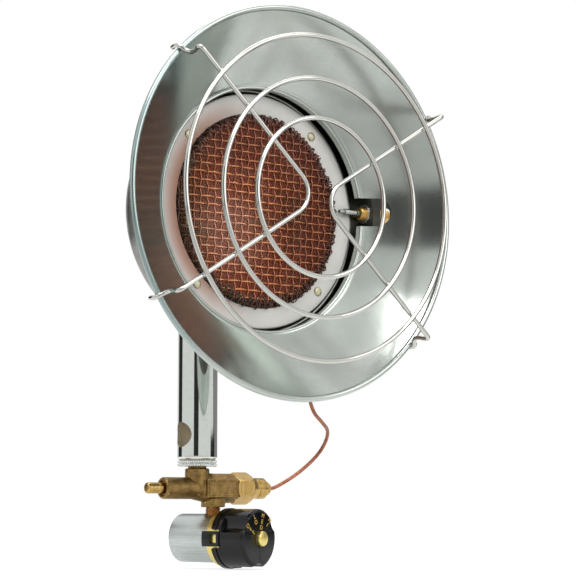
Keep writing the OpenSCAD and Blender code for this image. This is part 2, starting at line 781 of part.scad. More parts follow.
module burner_ring() {
    outer = pan_r - sheet - 0.1;
    round_r = 1;
    color([0.84, 0.82, 0.79]) head_frame() difference() {
        rotate_extrude($fn = 96) polygon([
            [mesh_r, ring_back], [mesh_r, ring_front], [outer - round_r, ring_front],
            [outer - 0.3 * round_r, ring_front - 0.3 * round_r], [outer, ring_front - round_r],
            [outer, retainer_back], [outer - sheet, retainer_back],
            [outer - sheet, ring_back - 0.4], [outer - sheet - 0.4, ring_back],
        ]);
        rivet_holes();
    }
}

module ring_rivets() {
    head = 3;
    color([0.75, 0.70, 0.58]) head_frame() around(4, 45) translate([rivet_circle_r, 0, 0]) {
        translate([0, 0, retainer_back - 0.5]) cylinder(h = ring_front - retainer_back + 1, r = rivet_r);
        translate([0, 0, ring_front + fit]) cylinder(h = 1, r1 = head, r2 = head - 1);
        translate([0, 0, retainer_back - fit - 0.9]) cylinder(h = 0.9, r = 2.4);
    }
}

module reflector() {
    steps = 14;
    lip = 2.4;
    notch_r = 9.5;
    notch_x = 81;
    function at(i) = hole_r + (bead_at - hole_r) * i / steps;
    color([0.76, 0.78, 0.77]) head_frame() difference() {
        union() {
            rotate_extrude($fn = 128) polygon(concat(
                [for (i = [0 : steps]) [at(i), dish_z(at(i))]],
                [for (i = [steps : -1 : 1]) [at(i), dish_z(at(i)) - dish_t]],
                [[hole_r + dish_t, dish_z(hole_r + dish_t) - dish_t]],
                [[hole_r + dish_t, dish_z(hole_r) - lip], [hole_r, dish_z(hole_r) - lip]]
            ));
            // Rolled edge
            translate([0, 0, bead_z]) rotate_extrude($fn = 128)
                translate([bead_at, 0]) circle(r = bead_r, $fn = 32);
        }
        // Notch for the thermocouple
        translate([notch_x, probe_y, 0]) cylinder(h = rim_z, r = notch_r);
    }
}

module reflector_mount() {
    skirt_out = pan_flange_r;
    skirt_in = pan_flange_r - sheet;
    lap_out = pan_flange_r + 6;
    under = dish_t + 0.1;
    color([0.60, 0.62, 0.62]) head_frame() difference() {
        rotate_extrude($fn = 96) polygon([
            [pan_r + 0.6, pan_front + fit], [skirt_out, pan_front + fit],
            [skirt_out, dish_z(skirt_out) - under - sheet], [lap_out, dish_z(lap_out) - under - sheet],
            [lap_out, dish_z(lap_out) - under], [skirt_in, dish_z(skirt_in) - under],
            [skirt_in, pan_front + sheet], [pan_r + 0.6, pan_front + sheet],
        ]);
        // Way out for the thermocouple
        translate([pan_r - 2, probe_y, probe_z]) rotate([0, 90, 0]) cylinder(h = 20, r = 5.6);
    }
}

module thermocouple_probe() {
    tip_x = mesh_r + 1.6;
    color([0.66, 0.67, 0.66]) head_frame() translate([0, probe_y, probe_z]) rotate([0, 90, 0]) {
        translate([0, 0, tip_x]) cylinder(h = 4.2, r = 1.3);
        translate([0, 0, tip_x + 4]) cylinder(h = 13, r = probe_r);
    }
}

module probe_sleeve() {
    color([0.82, 0.68, 0.36]) head_frame() translate([0, probe_y, probe_z]) rotate([0, 90, 0]) difference() {
        union() {
            translate([0, 0, 79.3]) cylinder(h = 7.5, r = sleeve_r);
            translate([0, 0, 78.3]) cylinder(h = 1, r1 = sleeve_r - 0.8, r2 = sleeve_r);
            translate([0, 0, 86.5]) cylinder(h = 2.5, r1 = sleeve_r - 0.3, r2 = 2.4);
        }
        translate([0, 0, 86.6]) cylinder(h = 5, r = lead_r + fit);
        translate([0, 0, 77]) cylinder(h = 2.3, r = probe_r + fit);
    }
}

module probe_bracket() {
    half_w = 7;
    thick = 1.2;
    plate_x = pan_flange_r + 0.6;
    foot_z = pan_front - sheet - 0.1 - thick;
    color([0.42, 0.43, 0.43]) head_frame() difference() {
        union() {
            translate([plate_x, probe_y - half_w, foot_z]) cube([thick, 2 * half_w, probe_z + 6.2 - foot_z]);
            translate([pan_r + 1, probe_y - half_w, foot_z]) cube([plate_x - pan_r - 0.5, 2 * half_w, thick]);
        }
        translate([plate_x - cut, probe_y, probe_z]) rotate([0, 90, 0]) cylinder(h = 4, r = sleeve_r + fit);
    }
}

// ---------- guard ----------

module guard_ring(r) {
    color([0.82, 0.83, 0.82]) head_frame() translate([0, 0, guard_z])
        rotate_extrude($fn = 128) translate([r, 0]) circle(r = ring_wire_r, $fn = 32);
}

module guard_ring_outer() {
    guard_ring(outer_ring_r);
}

module guard_ring_middle() {
    guard_ring(middle_ring_r);
}

module guard_ring_inner() {
    guard_ring(inner_ring_r);
}

// One half of a V: from the hook's tip behind the rim to the start of the round apex
function vee_leg(apex_start) = [
    for (p = [
        [121.4, rim_z - 5.2], [121.9, rim_z - 3], [121.9, rim_z - 0.6], [120.6, rim_z + 1.9],
        [118.4, rim_z + 2.9], [116.2, rim_z + 4.4], [114.9, rim_z + 7.5], [115.2, rim_z + 11],
        [116.2, rim_z + 14], [116.7, vee_z - 2.2], [116.1, vee_z - 0.7], [114.4, vee_z],
        [apex_start, vee_z],
    ]) [p[0] * cos(vee_half), p[0] * sin(vee_half), p[1]]
];

module guard_wire(turn) {
    bend = 13.5;
    apex_at = bend / sin(vee_half);
    leg = vee_leg(apex_at * cos(vee_half));
    arc = [
        for (a = [180 - (75 - vee_half) : 10 : 180 + (75 - vee_half)])
            [apex_at + bend * cos(a), -bend * sin(a), vee_z]
    ];
    mirrored = [for (i = [len(leg) - 1 : -1 : 0]) [leg[i][0], -leg[i][1], leg[i][2]]];
    color([0.82, 0.83, 0.82]) head_frame() rotate([0, 0, turn])
        swept_wire(concat(leg, arc, mirrored), vee_wire_r, 10, [0, 0, 1]);
}

module guard_wire_left() {
    guard_wire(180 + guard_turn);
}

module guard_wire_right() {
    guard_wire(guard_turn);
}

// ---------- the whole heater ----------

regulator_body();
inlet_nipple();
inlet_seal();
regulator_poppet();
diaphragm();
diaphragm_plate();
regulating_spring();
spring_seat();
cover_flange();
control_stem();
control_knob();
knob_cap();
outlet_nipple();
valve_body();
push_button();
button_gland();
button_spring();
button_rod();
valve_poppet();
magnet_unit();
magnet_nut();
lead_nut();
thermocouple_lead();
gas_jet();
lock_ring();
mixing_tube();
elbow_flange();
flange_rivets();
burner_pan();
flame_baffle();
inner_mesh();
outer_mesh();
mesh_gasket();
mesh_retainer();
burner_ring();
ring_rivets();
reflector();
reflector_mount();
thermocouple_probe();
probe_sleeve();
probe_bracket();
guard_ring_outer();
guard_ring_middle();
guard_ring_inner();
guard_wire_left();
guard_wire_right();
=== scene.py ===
"""Looks of a portable radiant gas heater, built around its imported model.

Shapes are written in millimetres of a sub-part's own frame of reference:
  REGULATOR  z runs forward from the inlet socket, y up
  OUTLET     z runs up the nipple between regulator and valve
  TUBE       z runs up the mixing tube, x along the valve's axis
  VALVE      z runs to the right along the valve's axis
  HEAD       z runs forward through the burner head's centre, x right, y up
  PROBE      z runs outward along the thermocouple's axis
"""

import json
import math
import random

import bmesh
import bpy
import numpy as np
from mathutils import Matrix, Vector


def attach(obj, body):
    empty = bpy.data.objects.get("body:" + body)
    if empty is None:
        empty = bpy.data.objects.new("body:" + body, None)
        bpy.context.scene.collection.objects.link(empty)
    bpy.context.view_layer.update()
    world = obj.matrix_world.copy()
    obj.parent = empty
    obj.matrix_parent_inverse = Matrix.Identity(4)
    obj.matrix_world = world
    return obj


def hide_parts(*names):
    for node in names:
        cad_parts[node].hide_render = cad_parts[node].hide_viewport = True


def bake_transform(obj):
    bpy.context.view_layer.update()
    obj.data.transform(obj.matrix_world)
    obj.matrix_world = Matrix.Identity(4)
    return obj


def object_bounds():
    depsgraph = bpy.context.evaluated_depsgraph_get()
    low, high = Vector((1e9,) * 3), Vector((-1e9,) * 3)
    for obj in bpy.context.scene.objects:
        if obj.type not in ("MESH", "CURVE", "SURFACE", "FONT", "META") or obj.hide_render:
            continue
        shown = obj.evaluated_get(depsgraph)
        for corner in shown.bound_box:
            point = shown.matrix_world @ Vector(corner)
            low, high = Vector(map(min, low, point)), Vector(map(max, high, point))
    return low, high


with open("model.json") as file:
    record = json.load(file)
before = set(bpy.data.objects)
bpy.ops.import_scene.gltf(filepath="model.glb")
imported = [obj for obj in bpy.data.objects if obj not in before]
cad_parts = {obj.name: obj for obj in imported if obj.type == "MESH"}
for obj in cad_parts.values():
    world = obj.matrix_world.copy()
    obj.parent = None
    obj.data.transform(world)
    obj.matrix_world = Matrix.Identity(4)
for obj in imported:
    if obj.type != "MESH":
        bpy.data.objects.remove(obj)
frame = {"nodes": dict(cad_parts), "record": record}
cad_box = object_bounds()
scene = bpy.context.scene

MM = 0.001
TAU = 2 * math.pi

# ---------- frames of reference ----------

HEAD_TURN = 19
NIPPLE_OFFSET = 12.4
OUTLET_Y = 24.2
VALVE_Z = 31.6
HEAD_Z = 201.8
PROBE_Y, PROBE_Z = 5.5, 67.6


def shift(x, y, z):
    return Matrix.Translation((x, y, z))


def moved(x, y, z):
    """A shift in millimetres for a frame of reference, which is in metres."""
    return shift(x * MM, y * MM, z * MM)


def turned(degrees, axis):
    return Matrix.Rotation(math.radians(degrees), 4, axis)


swing = math.radians(HEAD_TURN)
tube_x, tube_y = -NIPPLE_OFFSET * math.cos(swing), NIPPLE_OFFSET * math.sin(swing) - OUTLET_Y
REGULATOR = turned(90, "X")
OUTLET = moved(0, -OUTLET_Y, 0)
TUBE = moved(tube_x, tube_y, 0) @ turned(-HEAD_TURN, "Z")
VALVE = TUBE @ moved(0, 0, VALVE_Z) @ turned(90, "Y")
HEAD = TUBE @ moved(0, 0, HEAD_Z) @ turned(90, "X")
PROBE = HEAD @ moved(0, PROBE_Y, PROBE_Z) @ turned(90, "Y")

# ---------- camera ----------

camera_data = bpy.data.cameras.new("camera")
camera_data.lens = 115.2
camera_data.sensor_width = 36
camera = bpy.data.objects.new("camera", camera_data)
camera.location = (-0.95928, -0.72459, 0.02111)
camera.rotation_euler = (math.radians(96.71), 0, math.radians(-56.18))
scene.collection.objects.link(camera)
scene.camera = camera
scene.view_settings.view_transform = "Standard"

# ---------- shader nodes ----------


def fill(tree, socket, value):
    """Links the socket to another one, or sets it."""
    if isinstance(value, bpy.types.NodeSocket):
        tree.links.new(value, socket)
    else:
        socket.default_value = value


def add(tree, kind, inputs=(), **settings):
    """A new shader node with its inputs filled."""
    made = tree.nodes.new("ShaderNode" + kind)
    for key, value in settings.items():
        setattr(made, key, value)
    for key, value in dict(inputs).items():
        fill(tree, made.inputs[key], value)
    return made


def calc(tree, operation, *values):
    return add(tree, "Math", enumerate(values), operation=operation).outputs[0]


def vector(tree, operation, *values):
    """The result of vector arithmetic: a number for a length or a product, or else a vector."""
    made = add(tree, "VectorMath", enumerate(values), operation=operation)
    return made.outputs["Value" if operation in ("LENGTH", "DISTANCE", "DOT_PRODUCT") else "Vector"]


def blank_material(name):
    material = bpy.data.materials.new(name)
    material.use_nodes = True
    material.node_tree.nodes.clear()
    return material, material.node_tree


def colour(*parts):
    """A shader colour from the 0 to 255 values of a picture."""

    def linear(v):
        return v / 12.92 if v <= 0.04045 else ((v + 0.055) / 1.055) ** 2.4

    return (*[linear(part / 255) for part in parts], 1)


class Surface:
    """A material's node tree, with coordinates in millimetres of a sub-part's frame of reference."""

    def __init__(self, name, place, metallic=1.0, **settings):
        self.material, self.tree = blank_material(name)
        self.shader = add(self.tree, "BsdfPrincipled", {"Metallic": metallic, **settings})
        output = add(self.tree, "OutputMaterial", {"Surface": self.shader.outputs[0]})
        output.is_active_output = True
        back = place.inverted()
        steps = {"Location": back.translation / MM, "Rotation": back.to_euler(), "Scale": (1 / MM,) * 3}
        whole = add(self.tree, "TexCoord").outputs["Object"]
        self.place = add(self.tree, "Mapping", {"Vector": whole, **steps}).outputs[0]

    def axis(self, name):
        return add(self.tree, "SeparateXYZ", {0: self.place}).outputs[name]

    def stretched(self, x, y, z):
        """The coordinates with each axis multiplied, so that a noise draws out along the small ones."""
        return vector(self.tree, "MULTIPLY", self.place, (x, y, z))

    def radius(self):
        """Distance from the frame's z axis."""
        return vector(self.tree, "LENGTH", self.stretched(1, 1, 0))

    def rings(self, across, along, around=0.4):
        """Coordinates whose noise runs in rings round the z axis, as a lathe leaves them."""
        angle = calc(self.tree, "ARCTAN2", self.axis("Y"), self.axis("X"))
        parts = {"X": self.radius(), "Y": calc(self.tree, "SINE", angle), "Z": self.axis("Z")}
        made = add(self.tree, "CombineXYZ", parts).outputs[0]
        return vector(self.tree, "MULTIPLY", made, (across, around, along))

    def noise(self, where, scale=1.0, detail=3, rough=0.5):
        inputs = {"Vector": where, "Scale": scale, "Detail": detail, "Roughness": rough}
        return add(self.tree, "TexNoise", inputs).outputs["Fac"]

    def spread(self, value, low=0, high=1, start=0.3, end=0.7, kind="LINEAR"):
        """The value mapped from start..end, where most of a noise lies, to low..high."""
        inputs = {"Value": value, "From Min": start, "From Max": end, "To Min": low, "To Max": high}
        return add(self.tree, "MapRange", inputs, interpolation_type=kind).outputs["Result"]

    def ramp(self, value, start, end, top=1):
        """0 before start, top beyond end and smooth between them."""
        return self.spread(value, 0, top, start, end, "SMOOTHSTEP")

    def mix(self, share, a, b):
        """Colour a turning into b. A colour is a socket, or the 0 to 255 values of a picture."""
        node = add(self.tree, "Mix", {"Factor": share}, data_type="RGBA")
        for index, value in ((6, a), (7, b)):
            fill(self.tree, node.inputs[index], colour(*value) if isinstance(value, tuple) else value)
        return node.outputs[2]

    def stained(self, tone, *stains):
        """The tone under stains that are laid over it in turn, each a share and a colour."""
        for share, stain in stains:
            tone = self.mix(share, tone, stain)
        return tone

    def bump(self, height, depth, strength=1.0, under=None):
        """A normal from a 0 to 1 height that stands for depth millimetres, over another normal."""
        inputs = {"Height": height, "Distance": depth * MM, "Strength": strength}
        if under:
            inputs["Normal"] = under
        return add(self.tree, "Bump", inputs).outputs[0]

    def done(self, tone, roughness, normal=None, metallic=None):
        """The material, once the shader has its colour and the rest."""
        wanted = {"Base Color": tone, "Roughness": roughness, "Normal": normal, "Metallic": metallic}
        for key, value in wanted.items():
            if value is not None:
                fill(self.tree, self.shader.inputs[key], value)
        return self.material


# ---------- materials, one for each slot of the record ----------

MESH_R = 60.6


def brushed(name, place, dark, light, rough, lines, tarnish, depth=0.01):
    """Bare metal with fine lines along the stretched axes and a cloudy tone."""
    s = Surface(name, place)
    fine = s.noise(s.stretched(*lines), detail=4)
    cloud = s.noise(s.place, 0.12)
    tone = s.mix(s.spread(cloud, 0, tarnish, 0.45, 0.7), s.mix(s.spread(fine), dark, light), dark)
    return s.done(tone, s.spread(fine, *rough), s.bump(fine, depth, 0.6))


def lathed(name, place, dark, light, rough, pitch=3.0, depth=0.012, tarnish=0.3):
    """Turned metal: rings left by the tool, with a light tarnish between them."""
    s = Surface(name, place)
    ring = s.noise(s.rings(pitch, pitch), rough=0.6)
    cloud = s.noise(s.place, 0.35, 4)
    tone = s.mix(s.spread(cloud, 0, tarnish, 0.5, 0.75), s.mix(s.spread(ring), dark, light), dark)
    return s.done(tone, s.spread(cloud, *rough), s.bump(ring, depth, 0.5))


def cast_brass(name, place):
    """A sand casting: dark pits, and edges rubbed bright."""
    s = Surface(name, place)
    grain = s.noise(s.place, 2.2, 4, 0.65)
    patch = s.noise(s.place, 0.22, 4, 0.6)
    edge = add(s.tree, "NewGeometry").outputs["Pointiness"]
    tone = s.stained(
        s.mix(s.spread(patch), (128, 102, 61), (176, 144, 88)),
        (s.spread(grain, 0.7, 0, 0.34, 0.56), (74, 56, 34)),
        (s.ramp(edge, 0.53, 0.62), (222, 190, 132)),
    )
    return s.done(tone, s.spread(grain, 0.46, 0.3), s.bump(patch, 0.25, 0.5, s.bump(grain, 0.16, 0.9)))


def mesh_wire(name, place, dark, light, soot, rough=(0.5, 0.26)):
    """Oxidised alloy wire, ashy at the left, redder at the right and darkened by soot towards the edge, with
    a painted highlight left of and below the middle and a painted grey sheen on the wires' sides that face
    left.
    """
    painted_highlight_spot = (-24, -16, 68)
    left = place.to_3x3() @ Vector((-1, 0, 0))
    s = Surface(name, place, metallic=0.45)
    spot = s.noise(s.place, 0.7, 4, 0.6)
    cloud = s.noise(s.place, 0.035)
    across = s.axis("X")
    faces = add(s.tree, "NewGeometry").outputs["Normal"]
    painted_sheen_left = vector(s.tree, "DOT_PRODUCT", faces, left.to_tuple())
    tone = s.stained(
        s.mix(s.spread(spot), dark, light),
        (s.spread(cloud, 0, 0.6, 0.54, 0.7), (104, 90, 60)),
        (s.ramp(across, -20, 50, 0.5), (98, 46, 34)),
        (s.ramp(s.axis("Y"), 14, 44, 0.5), (142, 88, 76)),
        # Painted highlight: a pale pool of light on the wires, left of and below the middle
        (s.ramp(vector(s.tree, "DISTANCE", s.place, painted_highlight_spot), 36, 8, 0.4), (236, 190, 168)),
        (s.ramp(s.radius(), MESH_R - 6, MESH_R - 1, soot), (46, 32, 28)),
        (s.ramp(across, -30, -58, 0.45), (128, 100, 78)),
        # Painted sheen: the wires' sides that face left turn grey, as the pale reflection they show at a
        # grazing view
        (s.ramp(painted_sheen_left, 0.66, 0.84, 0.95), (92, 94, 90)),
    )
    return s.done(tone, s.spread(spot, *rough), s.bump(spot, 0.05, 0.5))


def ring_enamel(name, place):
    """Pale heat-resistant finish, pinker and browner towards the burner at the left: partly heat tint, partly
    painted shade with painted pink reflected light.
    """
    s = Surface(name, place, metallic=0)
    cloud = s.noise(s.place, 0.05, 4)
    fleck = s.noise(s.place, 1.8)
    # The tint towards the burner is partly heat tint, and partly painted shade and painted pink reflected
    # light, since it is kept to the ring's left side
    heat = calc(s.tree, "MULTIPLY", s.ramp(s.radius(), 75, 61.5), s.ramp(s.axis("X"), 10, -55))
    tone = s.stained(
        s.mix(s.spread(cloud), (212, 214, 209), (228, 225, 219)),
        (heat, (170, 126, 106)),
        (s.spread(fleck, 0, 0.12, 0.5, 0.7), (160, 150, 140)),
    )
    return s.done(tone, s.spread(fleck, 0.36, 0.5), s.bump(fleck, 0.03, 0.5))


def dish_metal(name, place):
    """Spun bright sheet under a faint haze: rings of the spinning tool, waves, and painted cyan-grey shade at
    the left side.
    """
    s = Surface(name, place, metallic=0.93)
    ring = s.noise(s.rings(1.6, 0.4), rough=0.6)
    wave = s.noise(s.place, 0.03, 2)
    scuff = s.noise(s.stretched(0.35, 2.4, 0.5), 1.0, 4, 0.7)
    tone = s.stained(
        s.mix(s.spread(wave), (172, 178, 172), (192, 198, 192)),
        (s.spread(scuff, 0, 0.25, 0.5, 0.75), (128, 134, 127)),
        # Painted shade: the sheet's left side is darker and cyan-grey
        (s.ramp(s.axis("X"), -60, -92, 0.5), (128, 156, 158)),
    )
    return s.done(tone, s.spread(scuff, 0.12, 0.2), s.bump(wave, 0.25, 0.5, s.bump(ring, 0.004, 0.6)))


def chrome(name, place, light, rough=(0.04, 0.09), depth=0.05, bare=0):
    """Bright plating over drawn steel, with faint waves and smudges. Inside the bare radius there is none."""
    s = Surface(name, place)
    wave = s.noise(s.place, 0.09, 2)
    smudge = s.noise(s.place, 0.3, 4, 0.6)
    tone = s.mix(s.spread(smudge, 0, 0.15, 0.5, 0.8), light, (150, 152, 148))
    roughness = s.spread(smudge, *rough)
    metallic = 1
    if bare:
        # The elbow's outside crosses the z axis higher up, so only the inside below it is bare
        inside = calc(s.tree, "MULTIPLY", s.ramp(s.radius(), bare + 0.5, bare), s.ramp(s.axis("Z"), 140, 130))
        tone = s.mix(inside, tone, s.mix(smudge, (206, 194, 166), (244, 232, 204)))
        roughness = s.spread(inside, roughness, 0.6, 0, 1)
        metallic = s.spread(inside, 1, 0.2, 0, 1)
    return s.done(tone, roughness, s.bump(wave, depth, 0.3), metallic)


def knob_plastic(name, place):
    s = Surface(name, place, metallic=0, **{"Specular IOR Level": 0.38})
    grain = s.noise(s.place, 7, 2)
    tone = s.mix(s.spread(s.noise(s.place, 0.25)), (8, 9, 9), (15, 17, 17))
    return s.done(tone, s.spread(grain, 0.13, 0.2), s.bump(grain, 0.012, 0.5))


def pressed_steel(name, place, dark=(128, 128, 124), light=(172, 173, 168)):
    """Aluminised sheet, dulled and straw-tinted by heat."""
    s = Surface(name, place)
    cloud = s.noise(s.place, 0.07, 4, 0.6)
    fleck = s.noise(s.place, 1.2, 4, 0.7)
    tone = s.mix(s.spread(cloud), dark, light)
    tone = s.mix(s.spread(fleck, 0, 0.4, 0.5, 0.7), tone, (120, 108, 92))
    return s.done(tone, s.spread(fleck, 0.42, 0.3), s.bump(fleck, 0.03, 0.5))


def rubber(name, place):
    s = Surface(name, place, metallic=0)
    grain = s.noise(s.place, 3)
    tone = s.mix(s.spread(grain), (20, 20, 20), (38, 37, 36))
    return s.done(tone, s.spread(grain, 0.6, 0.8), s.bump(grain, 0.03, 0.5))


def fibre(name, place):
    s = Surface(name, place, metallic=0)
    strands = s.noise(s.stretched(1, 1, 4), 1.5, 5, 0.7)
    return s.done(s.mix(s.spread(strands), (205, 200, 190), (240, 237, 230)), 0.9, s.bump(strands, 0.15, 0.8))


def gold_print(name, place):
    s = Surface(name, place, metallic=0.6)
    grain = s.noise(s.place, 6)
    return s.done(s.mix(s.spread(grain), (214, 170, 60), (238, 200, 96)), s.spread(grain, 0.4, 0.55))


def metal(maker, dark, light, rough, **more):
    """A row of the table below for brushed or lathed metal."""
    return maker, {"dark": dark, "light": light, "rough": rough, **more}


FINISHES = {
    "aluminium": metal(
        brushed, (178, 184, 181), (202, 208, 205), (0.24, 0.32), lines=(1.2, 1.2, 0.04), tarnish=0.3,
        depth=0.004,
    ),
    "machined_brass": metal(
        lathed, (168, 134, 74), (212, 180, 114), (0.22, 0.3), pitch=1.2, depth=0.004, tarnish=0.2
    ),
    "rubber": (rubber, {}),
    "plain_steel": metal(lathed, (140, 142, 138), (190, 192, 188), (0.28, 0.42)),
    "zinc_steel": metal(lathed, (214, 218, 215), (240, 243, 241), (0.2, 0.3)),
    "gold_plate": metal(
        lathed, (234, 210, 122), (248, 230, 152), (0.3, 0.38), pitch=2.0, depth=0.004, tarnish=0.1
    ),
    "knob_plastic": (knob_plastic, {}),
    "copper": metal(brushed, (132, 80, 60), (184, 122, 96), (0.26, 0.4), lines=(0.8, 0.8, 0.8), tarnish=0.7),
    "cast_brass": (cast_brass, {}),
    "chrome_tube": (chrome, {"light": (214, 219, 214), "bare": 11.8}),
    "pressed_steel": (pressed_steel, {}),
    "burner_mesh": (mesh_wire, {"dark": (202, 114, 68), "light": (250, 182, 124), "soot": 0.8}),
    "gasket_fibre": (fibre, {}),
    "ring_enamel": (ring_enamel, {}),
    "rivet_metal": metal(lathed, (176, 170, 140), (206, 200, 172), (0.36, 0.48), pitch=1.2),
    "reflector_metal": (dish_metal, {}),
    "guard_wire": (chrome, {"light": (200, 199, 193), "rough": (0.05, 0.1), "depth": 0.03}),
}
ready = {}


def finish(slot, place):
    """The slot's material, with its lines and rings laid along a frame of reference."""
    key = slot, place.copy().freeze()
    if key not in ready:
        maker, settings = FINISHES[slot]
        ready[key] = maker(slot, place, **settings)
    return ready[key]


# The frame whose z axis a CAD node's lathe lines turn about, where it isn't REGULATOR
CAD_FRAMES = {
    "gas_jet": TUBE,
    **dict.fromkeys(("button_gland", "button_rod", "valve_poppet", "magnet_unit"), VALVE),
    **dict.fromkeys(("elbow_flange", "flame_baffle", "mesh_gasket", "mesh_retainer"), HEAD),
}

for entry in frame["record"]["subparts"]:
    cad_mesh = frame["nodes"][entry["node"]].data
    cad_mesh.materials.clear()
    cad_mesh.materials.append(finish(entry["material_slot"], CAD_FRAMES.get(entry["node"], REGULATOR)))

# ---------- shapes: (points in millimetres, faces) ----------


def rounded(outline, steps=4):
    """The closed outline with each corner that has a third value rounded to that radius."""
    made = []
    count = len(outline)
    for i, corner in enumerate(outline):
        here = Vector(corner[:2])
        radius = corner[2] if len(corner) > 2 else 0
        if not radius:
            made.append(tuple(here))
            continue
        back = Vector(outline[i - 1][:2]) - here
        ahead = Vector(outline[(i + 1) % count][:2]) - here
        half = back.angle(ahead) / 2
        reach = min(radius / math.tan(half), 0.49 * back.length, 0.49 * ahead.length)
        start, end = here + back.normalized() * reach, here + ahead.normalized() * reach
        middle = here + (back.normalized() + ahead.normalized()).normalized() * reach / math.cos(half)
        a, b = start - middle, end - middle
        sweep = a.angle(b)
        for k in range(steps + 1):
            t = k / steps
            spoke = a * math.sin((1 - t) * sweep) + b * math.sin(t * sweep)
            made.append(tuple(middle + spoke / math.sin(sweep)))
    return made


def arc(centre_r, centre_z, radius, start, end, steps):
    """Points of a profile's arc, from one angle to another in degrees."""
    angles = np.radians(np.linspace(start, end, steps + 1))
    return [(centre_r + radius * math.cos(a), centre_z + radius * math.sin(a)) for a in angles]


def circle_angles(sides):
    return np.arange(sides) * TAU / sides


def quads(low, high, sides):
    """The faces between two rings of points, each ring given by its first point's number."""
    return [[low + k, low + (k + 1) % sides, high + (k + 1) % sides, high + k] for k in range(sides)]


def lathe(profile, sides=96):
    """A solid of revolution about z. A radius or height may be an array with a value for each side.

    A profile that starts and ends on the axis is closed there, and any other is a closed loop.
    """

    def on_axis(r):
        return np.ndim(r) == 0 and r == 0

    angles = circle_angles(sides)
    ones = np.ones(sides)
    points, rows = [], []
    for r, z in profile:
        if on_axis(r):
            rows.append([len(points)] * sides)
            points.append((0, 0, float(z)))
            continue
        rows.append(list(range(len(points), len(points) + sides)))
        points += list(zip(r * ones * np.cos(angles), r * ones * np.sin(angles), z * ones))
    pairs = list(zip(rows, rows[1:])) + ([] if on_axis(profile[0][0]) else [(rows[-1], rows[0])])
    faces = []
    for low, high in pairs:
        for k in range(sides):
            m = (k + 1) % sides
            corners = list(dict.fromkeys((low[k], low[m], high[m], high[k])))
            if len(corners) > 2:
                faces.append(corners)
    return np.array(points, float), faces


def wire(path, radius, sides=16, ups=None):
    """A round wire along an open path, with rounded ends. ups gives a side direction at each point."""
    path = np.array(path, float)
    ahead = np.gradient(path, axis=0)
    ahead /= np.linalg.norm(ahead, axis=1)[:, None]
    if ups is None:
        up = np.cross(ahead[0], (0.3, 0.5, 0.8))
        ups = []
        for way in ahead:
            up = up - way * np.dot(up, way)
            up = up / np.linalg.norm(up)
            ups.append(up)
        ups = np.array(ups)
    side = np.cross(ahead, ups)
    side /= np.linalg.norm(side, axis=1)[:, None]
    ups = np.cross(side, ahead)
    # Each ring: the path's point, a step ahead and a share of the radius
    last = len(path) - 1
    start = [(0, -0.45, 0.6), (0, -0.2, 0.92), (0, 0.1, 1)]
    end = [(last, -0.1, 1), (last, 0.2, 0.92), (last, 0.45, 0.6)]
    turn = circle_angles(sides)
    rings = []
    for i, step, share in [*start, *[(k, 0, 1) for k in range(1, last)], *end]:
        spokes = np.outer(np.cos(turn), ups[i]) + np.outer(np.sin(turn), side[i])
        rings.append(path[i] + ahead[i] * (step * radius) + share * radius * spokes)
    far = (len(rings) - 1) * sides
    faces = [face for row in range(0, far, sides) for face in quads(row, row + sides, sides)]
    return np.concatenate(rings), [*faces, list(range(sides))[::-1], list(range(far, far + sides))]


def softened(path, rounds=3):
    """The path with its corners cut again and again, inside the given points."""
    path = [Vector(p) for p in path]
    for _ in range(rounds):
        cut = [path[0]]
        for a, b in zip(path, path[1:]):
            cut += [a.lerp(b, 0.25), a.lerp(b, 0.75)]
        path = cut + [path[-1]]
    return path


def smooth(points, steps):
    """A smooth line through the given points."""
    p = [Vector(v) for v in points]
    p = [p[0]] + p + [p[-1]]
    made = []
    for a, b, c, d in zip(p, p[1:], p[2:], p[3:]):
        for k in range(steps):
            t = k / steps
            curve = 2 * b + (c - a) * t + (2 * a - 5 * b + 4 * c - d) * t**2 + (3 * b - a - 3 * c + d) * t**3
            made.append(0.5 * curve)
    return made + [p[-1]]


def coil(radius, low, high, turns, wire_r, steps=36):
    """A compression spring about z with closed end turns."""
    dead = 0.9
    path = []
    for k in range(int((turns + 2 * dead) * steps) + 1):
        t = k / steps
        live = min(max(t - dead, 0), turns)
        rest = 2 * wire_r * (min(t, dead) + max(t - dead - turns, 0))
        rise = rest + live / turns * (high - low - 4 * wire_r * dead)
        path.append((radius * math.cos(TAU * t), radius * math.sin(TAU * t), low + rise))
    return wire(path, wire_r, 12)


def joined(*shapes):
    points, faces, start = [], [], 0
    for some, more in shapes:
        points.append(some)
        faces += [[i + start for i in face] for face in more]
        start += len(some)
    return np.concatenate(points), faces


def carried(shape, *steps):
    """The shape moved by matrices in millimetres, the last one first."""
    matrix = Matrix.Identity(4)
    for step in steps:
        matrix = matrix @ step
    m = np.array(matrix)
    return shape[0] @ m[:3, :3].T + m[:3, 3], shape[1]


def repeated(shape, angles, *steps):
    """Copies of the shape, moved by the steps and then turned to each angle about z."""
    return joined(*[carried(shape, turned(angle, "Z"), *steps) for angle in angles])


def prism(outline, low, high):
    """An upright prism on a flat outline, for cutting."""
    count = len(outline)
    points = [(x, y, z) for z in (low, high) for x, y in outline]
    ends = [list(range(count))[::-1], list(range(count, 2 * count))]
    return np.array(points, float), ends + quads(0, count, count)


def block(low, high):
    """A box, for cutting."""
    (x0, y0, z0), (x1, y1, z1) = low, high
    return prism([(x0, y0), (x1, y0), (x1, y1), (x0, y1)], z0, z1)


def drum(radius, low, high, sides=64):
    """A cylinder, for cutting."""
    return lathe([(0, low), (radius, low), (radius, high), (0, high)], sides)


def lower_of(a, b, blend=0.2):
    """The smaller of two radii, with the corner between them rounded."""
    a, b = np.broadcast_arrays(a, b)
    least = np.minimum(a, b)
    return least - blend * np.log(np.exp((least - a) / blend) + np.exp((least - b) / blend))


def polygon_radius(corner_r, corners, sides):
    """Radius of a regular polygon at each of the sides' angles."""
    step = TAU / corners
    off = np.mod(circle_angles(sides), step) - step / 2
    return corner_r * math.cos(step / 2) / np.cos(off)


